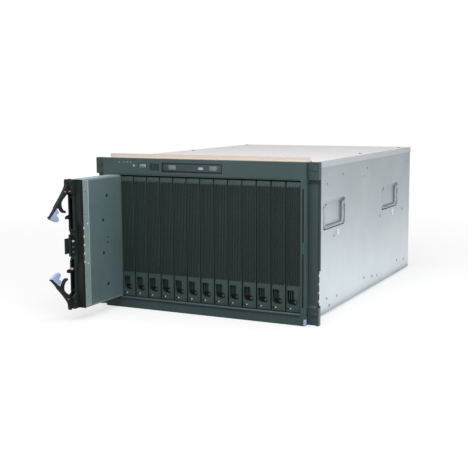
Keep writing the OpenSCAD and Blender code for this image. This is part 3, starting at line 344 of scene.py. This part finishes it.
finishOfSlot = {
    "bare_steel": "caseSteel", "cover_steel": "coverSteel", "cream": "stripBeige", "slate": "bezelSlate",
    "black_flange": "flangeBlack", "filler_grey": "fillerPlastic", "blade_steel": "bladeSteel",
    "cover_grey": "bladeCover", "coal": "bladeCoal", "board_green": "boardGreen",
    "aluminium_fins": "finMetal", "copper": "pinCopper", "pale_blue": "touchBlue",
    "button_white": "buttonWhite", "button_grey": "buttonGrey", "lens": "lightPipe",
    "bright_metal": "socketShell", "drive_grey": "driveGrey", "module_grey": "moduleGrey",
    "blower_black": "blowerBlack",
}


def paint(piece, finishName):
    piece.data.materials.clear()
    piece.data.materials.append(finishes[finishName])


for nodeName, node in nodes.items():
    paint(node, finishOfSlot[slotOf[nodeName]])
paint(nodes["eject_button"], "ejectPale")
paint(nodes["case_fasteners"], "rivetSteel")
# the handles take the darker steel as painted shade
for nodeName in nodes:
    if nodeName.startswith("handle_"):
        paint(nodes[nodeName], "handleSteelShaded")
print("finishes ready:", len(finishes))


# Modelling helpers: metres, in the frame's own axes

def clearSelection():
    bpy.ops.object.select_all(action="DESELECT")


def pick(piece):
    clearSelection()
    piece.select_set(True)
    bpy.context.view_layer.objects.active = piece


def settle(piece):
    pick(piece)
    bpy.ops.object.transform_apply(location=True, rotation=True, scale=True)
    return piece


def applyModifier(piece, kind, **settings):
    pick(piece)
    change = piece.modifiers.new(kind.lower(), kind)
    for key, value in settings.items():
        setattr(change, key, value)
    bpy.ops.object.modifier_apply(modifier=change.name)
    return piece


def softenEdges(piece, width, angle=35):
    return applyModifier(piece, "BEVEL", width=width, segments=2, limit_method="ANGLE",
                         angle_limit=math.radians(angle), use_clamp_overlap=True, harden_normals=False)


def addBlock(low, high, soft=0.0):
    clearSelection()
    low, high = Vector(low), Vector(high)
    bpy.ops.mesh.primitive_cube_add(size=1.0, location=(low + high) / 2)
    piece = bpy.context.object
    piece.scale = high - low
    settle(piece)
    return softenEdges(piece, soft) if soft else piece


def addRod(centre, radius, length, axis="Y", sides=32, soft=0.0):
    clearSelection()
    turn = {"X": (0, math.pi / 2, 0), "Y": (math.pi / 2, 0, 0)}[axis]
    bpy.ops.mesh.primitive_cylinder_add(vertices=sides, radius=radius, depth=length,
                                        location=centre, rotation=turn)
    piece = settle(bpy.context.object)
    return softenEdges(piece, soft, 50) if soft else piece


def addOutline(points, start, depth):
    # an outline of (x, z) points made thick along y
    clearSelection()
    bpy.ops.mesh.primitive_plane_add(size=1.0)
    piece = bpy.context.object
    piece.data.clear_geometry()
    piece.data.from_pydata([(x, start, z) for x, z in points], [], [list(range(len(points)))])
    pick(piece)
    bpy.ops.object.mode_set(mode="EDIT")
    bpy.ops.mesh.select_all(action="SELECT")
    bpy.ops.mesh.extrude_region_move(TRANSFORM_OT_translate={"value": (0, depth, 0)})
    bpy.ops.mesh.select_all(action="SELECT")
    bpy.ops.mesh.normals_make_consistent(inside=False)
    bpy.ops.object.mode_set(mode="OBJECT")
    return piece


def arc(centre, radius, first, last):
    steps = 12
    turns = [math.radians(first + (last - first) * k / steps) for k in range(steps + 1)]
    return [(centre[0] + radius * math.cos(turn), centre[1] + radius * math.sin(turn)) for turn in turns]


def stadium(x0, x1, z0, z1):
    # a slot outline with half-round ends to the left and right
    radius = (z1 - z0) / 2
    middle = (z0 + z1) / 2
    return arc((x1 - radius, middle), radius, -90, 90) + arc((x0 + radius, middle), radius, 90, 270)


def weld(parts):
    clearSelection()
    for part in parts:
        part.select_set(True)
    bpy.context.view_layer.objects.active = parts[0]
    bpy.ops.object.join()
    return parts[0]


def carve(piece, cutter, operation="DIFFERENCE"):
    applyModifier(piece, "BOOLEAN", object=cutter, operation=operation, solver="EXACT")
    bpy.data.objects.remove(cutter)
    return piece


def copyAt(piece, shift):
    twin = piece.copy()
    twin.data = piece.data.copy()
    bpy.context.scene.collection.objects.link(twin)
    twin.data.transform(Matrix.Translation(shift))
    return twin


def dress(piece, name, body, finishName, replaced=()):
    # the last step of each new piece: its name, shading, finish and body
    settle(piece)
    piece.name = name
    piece.data.name = name
    bpy.ops.object.shade_smooth_by_angle(angle=math.radians(30))
    paint(piece, finishName)
    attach(piece, body)
    if replaced:
        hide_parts(*replaced)


# Bay fillers: a perforated face, a finger recess with ribs and a knob, and two runners

def hexCutter(low, high, columnPitch, web):
    # staggered hexagonal prisms in columns, with their corners to the sides
    (x0, y0, z0), (x1, y1, z1) = low, high
    corner = columnPitch / 1.5
    rowPitch = corner * math.sqrt(3)
    columns = round((x1 - x0) / columnPitch)
    rows = round((z1 - z0 - rowPitch / 2) / rowPitch)
    left = (x0 + x1 - (columns - 1) * columnPitch) / 2
    foot = z0 + rowPitch / 2
    stacks = []
    for lane in range(2):
        start = (left + lane * columnPitch, (y0 + y1) / 2, foot + lane * rowPitch / 2)
        repeats = (((columns + 1 - lane) // 2, (columnPitch * 2, 0, 0)), (rows, (0, 0, rowPitch)))
        clearSelection()
        bpy.ops.mesh.primitive_cylinder_add(vertices=6, radius=corner - web / math.sqrt(3), depth=y1 - y0)
        stack = bpy.context.object
        stack.rotation_euler = (math.pi / 2, 0, 0)
        settle(stack)
        stack.data.transform(Matrix.Rotation(math.pi / 6, 4, "Y"))
        stack.data.transform(Matrix.Translation(start))
        for count, step in repeats:
            applyModifier(stack, "ARRAY", count=count, use_relative_offset=False,
                          use_constant_offset=True, constant_offset_displace=step)
        stacks.append(stack)
    return weld(stacks)


# heights are from a datum just under the filler, and depths are from its face
filler = {
    "datum": 0.3 * mm, "inset": 0.9 * mm, "footGap": 1.0 * mm, "headGap": 3.3 * mm, "edge": 0.5 * mm,
    "faceThick": 1.0 * mm, "wall": 1.1 * mm, "trayDepth": 14 * mm, "ledge": 3 * mm, "tieGap": 0.5 * mm,
    "column": 3.3 * mm, "web": 0.62 * mm, "rim": 0.4 * mm, "meshFoot": 49.5 * mm, "meshTop": 12.5 * mm,
    "recess": (2.6 * mm, 16.6 * mm, 20 * mm, 41.5 * mm), "recessDepth": 10 * mm,
    "scoop": (2.6 * mm, 22.8 * mm, 13.6 * mm, 25.6 * mm), "holeRadius": 1.65 * mm,
    "holes": ((9.3 * mm, 7.2 * mm, 3 * mm), (4.4 * mm, 7.0 * mm, 6 * mm)),
}


def modelShell(low, high, floor):
    x0, y0 = low.x, low.y
    left, right = x0 + filler["inset"], high.x - filler["inset"]
    foot, top = floor + filler["footGap"], high.z - filler["headGap"]
    wall, thick, back = filler["wall"], filler["faceThick"], y0 + filler["trayDepth"]
    deep = y0 + filler["recessDepth"]
    a0, a1, b0, b1 = filler["recess"]
    s0, s1, t0, t1 = filler["scoop"]

    def pocket(grow, start, end):
        # the finger recess joined to the scoop under it, grown by the wall
        post = addBlock((x0 + a0 - grow, start, floor + t0 + (t1 - t0) / 2),
                        (x0 + a1 + grow, end, floor + b1 + grow))
        bowl = stadium(x0 + s0 - grow, x0 + s1 + grow, floor + t0 - grow, floor + t1 + grow)
        return carve(post, addOutline(bowl, start, end - start), "UNION")

    shell = addBlock((left, y0, foot), (right, back, top), filler["edge"])
    carve(shell, addBlock((left + wall, y0 + thick, foot + wall), (right - wall, back + wall, top - wall)))
    carve(shell, pocket(wall, y0 + thick / 2, deep + wall), "UNION")
    carve(shell, pocket(0.0, y0 - wall, deep))
    for across, up, reach in filler["holes"]:
        carve(shell, addRod((x0 + across, y0, floor + up), filler["holeRadius"], reach, sides=20))
    meshLow = (left + filler["rim"], y0 - wall, floor + filler["meshFoot"])
    meshHigh = (right - filler["rim"], y0 + thick + wall / 2, high.z - filler["meshTop"])
    return carve(shell, hexCutter(meshLow, meshHigh, filler["column"], filler["web"]))


def modelRibs(low, floor):
    # three upright ribs in the finger recess, and the round knob beside them
    ribs = {"places": (5.6 * mm, 9.2 * mm, 12.8 * mm), "width": 1.1 * mm, "rise": 4 * mm, "edge": 0.25 * mm}
    knob = {"place": (18.6 * mm, 5.6 * mm, 19.6 * mm), "radius": 3.0 * mm, "length": 9.6 * mm,
            "edge": 0.9 * mm}
    foot, top = filler["recess"][2:]
    halfWall = filler["wall"] / 2
    back = low.y + filler["recessDepth"] + halfWall
    uprights = []
    for x in ribs["places"]:
        start = (low.x + x, low.y + filler["ledge"], floor + foot + ribs["rise"])
        end = (low.x + x + ribs["width"], back, floor + top + halfWall)
        uprights.append(addBlock(start, end, ribs["edge"]))
    x, y, z = knob["place"]
    centre = (low.x + x, low.y + y, floor + z)
    return [*uprights, addRod(centre, knob["radius"], knob["length"], sides=28, soft=knob["edge"])]


def modelRunners(low, high, floor):
    # the slotted strips at the floor and the ceiling of the bay; the slots' lengths are in whole mm
    runner = {"foot": 0.3 * mm, "top": 3.0 * mm, "thick": 2.7 * mm, "edge": 0.3 * mm, "slotInset": 4.4 * mm,
              "slots": 4, "slotStart": 20, "slotLength": 12, "slotPitch": 17}
    heights = ((floor + runner["foot"], floor + runner["top"]), (high.z - runner["thick"], high.z))
    runners = []
    for z0, z1 in heights:
        strip = addBlock((low.x + filler["inset"], low.y + filler["ledge"], z0),
                         (high.x - filler["inset"], high.y, z1), runner["edge"])
        slots = []
        for k in range(runner["slots"]):
            start = runner["slotStart"] + k * runner["slotPitch"]
            end = start + runner["slotLength"]
            slots.append(addBlock((low.x + runner["slotInset"], low.y + start * mm, z0 - mm),
                                  (high.x - runner["slotInset"], low.y + end * mm, z1 + mm)))
        runners.append(carve(strip, weld(slots)))
    return runners


def modelFiller(low, high, floor):
    shell = modelShell(low, high, floor)
    ribsAndKnob = modelRibs(low, floor)
    runners = modelRunners(low, high, floor)
    tie = addBlock(
        (low.x + filler["inset"], low.y + filler["ledge"], high.z - filler["headGap"] - filler["wall"]),
        (high.x - filler["inset"], low.y + filler["trayDepth"], high.z - filler["tieGap"]))
    return weld([shell, *ribsAndKnob, tie, *runners])


def modelShadeSheets(low, high, floor):
    # near-black sheets as painted shade: one behind the perforated face, and one at the back of the finger
    # recess
    backShade = {"inset": 2.3 * mm, "start": 11.5 * mm, "end": 13.5 * mm, "foot": 46 * mm, "headGap": 6 * mm}
    shadeLining = {"start": 9.3 * mm, "end": 9.8 * mm, "thick": 0.5 * mm, "left": 2.8 * mm, "right": 16.4 * mm,
              "scoopRight": 22.6 * mm, "scoop": (13.8 * mm, 25.4 * mm), "upright": (19.6 * mm, 41.3 * mm)}
    sheet = addBlock((low.x + backShade["inset"], low.y + backShade["start"], low.z + backShade["foot"]),
                     (high.x - backShade["inset"], low.y + backShade["end"], high.z - backShade["headGap"]))
    foot, top = shadeLining["scoop"]
    outline = stadium(low.x + shadeLining["left"], low.x + shadeLining["scoopRight"], floor + foot, floor + top)
    bowl = addOutline(outline, low.y + shadeLining["start"], shadeLining["thick"])
    foot, top = shadeLining["upright"]
    post = addBlock((low.x + shadeLining["left"], low.y + shadeLining["start"], floor + foot),
                    (low.x + shadeLining["right"], low.y + shadeLining["end"], floor + top))
    return weld([sheet, carve(bowl, post, "UNION")])


def modelPin(low, floor):
    # the small bright pin beside the dimple
    pin = {"place": (9.3 * mm, 0.9 * mm, 7.2 * mm), "radius": 1.35 * mm, "length": 2.6 * mm, "edge": 0.5 * mm}
    x, y, z = pin["place"]
    centre = (low.x + x, low.y + y, floor + z)
    return addRod(centre, pin["radius"], pin["length"], sides=20, soft=pin["edge"])


def addFillers():
    low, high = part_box("filler_02")
    floor = low.z - filler["datum"]
    pattern = modelFiller(low, high, floor)
    pinPattern = modelPin(low, floor)
    shadePattern = modelShadeSheets(low, high, floor)
    for bay in range(2, 15):
        nodeName = f"filler_{bay:02d}"
        body = bodyOf(nodeName)
        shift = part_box(nodeName)[0] - low
        dress(copyAt(pattern, shift), f"bayFiller{bay:02d}", body, "fillerPlastic",
              (nodeName,))
        dress(copyAt(pinPattern, shift), f"fillerPin{bay:02d}", body, "pinWhite")
        dress(copyAt(shadePattern, shift), f"fillerShade{bay:02d}", body, "shadeSheetBlack")
    for spare in (pattern, pinPattern, shadePattern):
        bpy.data.objects.remove(spare)
    print("fillers modelled")


# Plugs in the rack slots, so that the flanges look plain

def addSlotPlugs():
    plug = {"across": 232.55 * mm, "half": (6.2 * mm, 3.3 * mm), "proud": 1.2 * mm, "depth": 5 * mm,
            "edge": 0.5 * mm, "rackUnit": 44.45 * mm}
    lowest = cadBox[0].z
    halfWidth, halfHeight = plug["half"]
    for side, hand in ((-1, "Left"), (1, "Right")):
        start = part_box(f"rack_flange_{hand.lower()}")[0].y - plug["proud"]
        across = side * plug["across"]
        for level, units in (("Low", 0.5), ("High", 6.5)):
            height = lowest + plug["rackUnit"] * units
            outline = stadium(across - halfWidth, across + halfWidth,
                              height - halfHeight, height + halfHeight)
            cap = softenEdges(addOutline(outline, start, plug["depth"]), plug["edge"], 50)
            dress(cap, f"slotPlug{hand}{level}", "chassis", "flangeBlack")
    print("slot plugs placed")


# Small parts of the blade's side strip, front and cover

def addBladeParts():
    low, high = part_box("blade_tray")
    body = bodyOf("blade_tray")
    side, face = high.x, low.y
    tabs = {"heights": (88.9 * mm, 105.1 * mm, 121.3 * mm, 137.5 * mm, 153.7 * mm), "half": 2.2 * mm,
            "sunk": 2 * mm, "ahead": 1.2 * mm, "behind": 2.0 * mm, "edge": 0.3 * mm}
    screws = {"places": ((14 * mm, 161 * mm), (13 * mm, 84.7 * mm)), "radius": 1.7 * mm, "edge": 0.2 * mm}
    seam = {"behind": 17.2 * mm, "start": 0.6 * mm, "end": 0.5 * mm, "ends": 3 * mm, "edge": 0.25 * mm}
    proud = 0.35 * mm
    lipDepth = 2 * mm
    for count, height in enumerate(tabs["heights"], 1):
        middle = low.z + height
        tab = addBlock((side - tabs["sunk"], face - tabs["ahead"], middle - tabs["half"]),
                       (side + proud, face + tabs["behind"], middle + tabs["half"]), tabs["edge"])
        dress(tab, f"stripTab{count}", body, "tabBright")
    for count, (inward, height) in enumerate(screws["places"], 1):
        centre = (side, face - lipDepth + inward, low.z + height)
        head = addRod(centre, screws["radius"], 2 * proud, "X", 24, screws["edge"])
        dress(head, f"stripScrew{count}", body, "tabBright")
    middle = face + seam["behind"]
    # the fold strip is painted paler, as a highlight along the cover's fold
    fold = addBlock((side - mm, middle - seam["start"], low.z + seam["ends"]),
                    (side + proud, middle + seam["end"], high.z - seam["ends"]), seam["edge"])
    dress(fold, "stripFold", body, "foldPaintedHighlight")
    addBars(body)
    # black discs in the cover's holes: painted shade for the dark inside seen through them
    holeShades = {"wide": 3.3 * mm, "narrowed": 0.6, "wideOnes": 4, "length": 1.0 * mm, "edge": 0.15 * mm,
             "places": ((79.6, 208.5), (65.4, 162), (65, 97.5), (78, 34), (81, 127), (79.5, 116.5))}
    for count, (inward, height) in enumerate(holeShades["places"], 1):
        radius = holeShades["wide"] if count <= holeShades["wideOnes"] else holeShades["narrowed"] * holeShades["wide"]
        centre = (side, face - lipDepth + inward * mm, low.z + height * mm)
        plug = addRod(centre, radius, holeShades["length"], "X", 28, holeShades["edge"])
        dress(plug, f"coverHoleShade{count}", body, "paintedShadeBlack")
    print("blade parts placed")


def addBars(body):
    # copper-coloured bars across the levers, and their ends on the blade's front
    cross = {"sidePlay": 0.6 * mm, "start": -504.5 * mm, "end": -500.5 * mm, "half": 1.1 * mm}
    stub = {"left": -198.4 * mm, "right": -193.8 * mm, "face": -493 * mm, "proud": 1.4 * mm, "sunk": 3 * mm}
    edge = 0.4 * mm
    for nodeName, height in (("upper_lever", 243.5 * mm), ("lower_lever", 40.5 * mm)):
        low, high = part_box(nodeName)
        bar = addBlock((low.x - cross["sidePlay"], cross["start"], height - cross["half"]),
                       (high.x + cross["sidePlay"], cross["end"], height + cross["half"]), edge)
        dress(bar, f"{nodeName.split('_')[0]}LeverBar", bodyOf(nodeName), "barCopper")
    for count, (height, half) in enumerate(((243.5 * mm, 1.2 * mm), (97 * mm, 2.0 * mm)), 1):
        bar = addBlock((stub["left"], stub["face"] - stub["proud"], height - half),
                       (stub["right"], stub["face"] + stub["sunk"], height + half), edge)
        dress(bar, f"bezelBar{count}", body, "barCopper")


# Small parts of the media panel and the bezel

def addDriveFront():
    low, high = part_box("disc_tray")
    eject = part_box("eject_button")
    tray = bodyOf("disc_tray")
    skin = {"proud": 0.4 * mm, "sunk": 0.2 * mm, "inset": 0.3 * mm, "gap": 0.5 * mm, "edge": 0.2 * mm}
    pads = {"places": ((-67 * mm, -51 * mm), (23 * mm, 38 * mm)), "foot": 277.8 * mm, "top": 286.4 * mm,
            "proud": 0.25 * mm, "edge": 0.1 * mm}
    ring = {"gap": 0.5 * mm, "wide": 1.5 * mm, "proud": 0.4 * mm, "deep": 1.5 * mm, "ridge": 3 * mm,
            "reach": 5 * mm, "edge": 0.2 * mm}
    front, inset, gap = low.y - skin["proud"], skin["inset"], skin["gap"]
    plate = addBlock((low.x + inset, front, low.z + inset),
                     (high.x - inset, low.y + skin["sunk"], high.z - inset), skin["edge"])
    window = addBlock((eject[0].x - gap, front - mm, eject[0].z - gap),
                      (eject[1].x + gap, low.y + mm, eject[1].z + gap))
    dress(carve(plate, window), "driveSkin", tray, "driveGrey")
    for count, (left, right) in enumerate(pads["places"], 1):
        pad = addBlock((left, front - pads["proud"], pads["foot"]),
                       (right, front + skin["sunk"], pads["top"]), pads["edge"])
        dress(pad, f"drivePad{count}", tray, "padGrey")
    # a black ring round the tray: painted shade of the gap around it
    inner, outer = ring["gap"], ring["gap"] + ring["wide"]
    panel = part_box("front_bezel")[0].y + ring["ridge"]
    gapShade = addBlock((low.x - outer, panel - ring["proud"], low.z - outer),
                        (high.x + outer, panel + ring["deep"], high.z + outer), ring["edge"])
    hole = addBlock((low.x - inner, panel - ring["reach"], low.z - inner),
                    (high.x + inner, panel + ring["reach"], high.z + inner))
    dress(carve(gapShade, hole), "driveGapShade", "chassis", "paintedShadeBlack")


def addBezelParts():
    # the pale release tab at the lower right corner, and black linings behind the post slots as painted shade
    # in them
    tab = {"low": (216.4 * mm, -350.6 * mm, -3.4 * mm), "high": (219.6 * mm, -341 * mm, 8.6 * mm),
           "edge": 0.7 * mm}
    slotShade = {"inner": 212.4 * mm, "outer": 216.6 * mm, "start": -345.4 * mm, "end": -344.4 * mm,
             "foot": 22 * mm, "top": 262 * mm}
    releaseTab = addBlock(tab["low"], tab["high"], tab["edge"])
    dress(releaseTab, "releaseTab", "chassis", "touchBlue")
    for hand, side in (("Left", -1), ("Right", 1)):
        near, far = sorted((side * slotShade["inner"], side * slotShade["outer"]))
        shadeLining = addBlock((near, slotShade["start"], slotShade["foot"]), (far, slotShade["end"], slotShade["top"]))
        dress(shadeLining, f"postSlotShade{hand}", "chassis", "paintedShadeBlack")
    print("bezel parts placed")


# Bright lanced tabs under the handle pockets

def addLances():
    lance = {"behind": 16 * mm, "half": 2.4 * mm, "sunk": 1.5 * mm, "proud": 1.3 * mm, "foot": 19 * mm,
             "top": 6.5 * mm, "edge": 0.5 * mm}
    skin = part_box("base_shell")[1].x
    for nodeName in ("handle_left_front", "handle_left_rear", "handle_right_front", "handle_right_rear"):
        low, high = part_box(nodeName)
        side = 1 if low.x > 0 else -1
        middle = (low.y + high.y) / 2 + lance["behind"]
        near, far = sorted((side * (skin - lance["sunk"]), side * (skin + lance["proud"])))
        tab = addBlock((near, middle - lance["half"], low.z - lance["foot"]),
                       (far, middle + lance["half"], low.z - lance["top"]), lance["edge"])
        name = "".join(part.capitalize() for part in nodeName.split("_")[1:])
        dress(tab, f"lance{name}", "chassis", "tabBright")
    print("lances placed")


addFillers()
addSlotPlugs()
addBladeParts()
addDriveFront()
addBezelParts()
addLances()


# Stage, camera and lights

def addStage():
    # white paper: it fades into the white surround and keeps a soft shadow near the part;
    # mirrored in the satin steel it is bright beside the part, and dark in front of the black plastics
    studio = {"size": 16.0, "albedo": 0.3, "parting": 0.24, "shown": (0.5, 2.2, 0.66, 0.88),
              "beside": (0.23, 0.95, 1.5, 0.36), "inFront": (0.35, 2.1, 0.04, 0.95)}
    clearSelection()
    bpy.ops.mesh.primitive_plane_add(size=studio["size"], location=(0, 0, cadBox[0].z))
    floor = bpy.context.object
    floor.name = "studioFloor"
    settle(floor)
    finish, tree, shader = newFinish("studioPaper", 0.9)
    shader.inputs["Base Color"].default_value = (studio["albedo"], studio["albedo"], studio["albedo"], 1)
    shader.inputs["Emission Color"].default_value = (1, 1, 1, 1)
    spot = objectPattern(tree)
    away = tree.nodes.new("ShaderNodeVectorMath")
    away.operation = "LENGTH"
    tree.links.new(spot, away.inputs[0])
    axes = tree.nodes.new("ShaderNodeSeparateXYZ")
    tree.links.new(spot, axes.inputs["Vector"])
    path = tree.nodes.new("ShaderNodeLightPath")
    right = arithmetic(tree, "GREATER_THAN", axes.outputs["X"], studio["parting"])
    elsewhere = arithmetic(tree, "SUBTRACT", 1.0, right)
    forward = arithmetic(tree, "MULTIPLY", axes.outputs["Y"], -1.0)
    beside = arithmetic(tree, "MULTIPLY", fade(tree, axes.outputs["X"], *studio["beside"]), right)
    inFront = arithmetic(tree, "MULTIPLY", fade(tree, forward, *studio["inFront"]), elsewhere)
    both = arithmetic(tree, "ADD", beside, inFront)
    mirrored = arithmetic(tree, "MULTIPLY", both, path.outputs["Is Glossy Ray"])
    paper = fade(tree, away.outputs["Value"], *studio["shown"])
    shown = arithmetic(tree, "MULTIPLY", paper, path.outputs["Is Camera Ray"])
    tree.links.new(arithmetic(tree, "ADD", shown, mirrored), shader.inputs["Emission Strength"])
    floor.data.materials.append(finish)


def addCamera():
    view = {"place": (0.8356, -1.8784, 0.4028), "yaw": 0.4618, "pitch": 0.1411, "roll": -0.0066,
            "lens": 70.35, "sensor": 36.0, "near": 0.05, "far": 60.0}
    lensData = bpy.data.cameras.new("productCamera")
    lensData.lens = view["lens"]
    lensData.sensor_width = view["sensor"]
    lensData.clip_start = view["near"]
    lensData.clip_end = view["far"]
    camera = bpy.data.objects.new("productCamera", lensData)
    bpy.context.scene.collection.objects.link(camera)
    turn = Matrix.Rotation(view["yaw"], 4, "Z") @ Matrix.Rotation(math.pi / 2 - view["pitch"], 4, "X")
    camera.matrix_world = Matrix.Translation(view["place"]) @ turn @ Matrix.Rotation(view["roll"], 4, "Z")
    bpy.context.scene.camera = camera


def addSoftbox(name, place, aim, size, power):
    lampData = bpy.data.lights.new(name, "AREA")
    lampData.shape = "RECTANGLE"
    lampData.size, lampData.size_y = size
    lampData.energy = power
    lamp = bpy.data.objects.new(name, lampData)
    bpy.context.scene.collection.objects.link(lamp)
    lamp.location = place
    lamp.rotation_euler = (Vector(aim) - Vector(place)).to_track_quat("-Z", "Y").to_euler()


def addWorld(ambient, mirrored):
    # white to the camera, dimmer in reflections, and dimmer still as light
    world = bpy.data.worlds.new("paleStudio")
    bpy.context.scene.world = world
    world.use_nodes = True
    tree = world.node_tree
    shade = tree.nodes["Background"]
    shade.inputs["Color"].default_value = (1, 1, 1, 1)
    path = tree.nodes.new("ShaderNodeLightPath")
    shown = arithmetic(tree, "MULTIPLY", path.outputs["Is Camera Ray"], 1.0 - ambient)
    glossy = arithmetic(tree, "MULTIPLY", path.outputs["Is Glossy Ray"], mirrored - ambient)
    strength = arithmetic(tree, "ADD", arithmetic(tree, "ADD", shown, glossy), ambient)
    tree.links.new(strength, shade.inputs["Strength"])


addStage()
addCamera()
addWorld(0.3, 0.55)
addSoftbox("overheadSoftbox", (0.2, 0.0, 2.2), (0, 0, 0.3), (2.0, 1.6), 24)
addSoftbox("sideSoftbox", (1.6, -0.2, 0.15), (0.22, 0.1, 0.04), (1.8, 0.5), 13)
addSoftbox("frontSoftbox", (0.2, -0.85, 1.0), (0.02, -0.35, 0.22), (1.3, 0.4), 8.0)
addSoftbox("farSoftbox", (0.6, -3.2, 1.6), (0, -0.3, 0.2), (1.6, 1.2), 9)
bpy.context.scene.view_settings.view_transform = "Standard"
print("camera and lights placed")
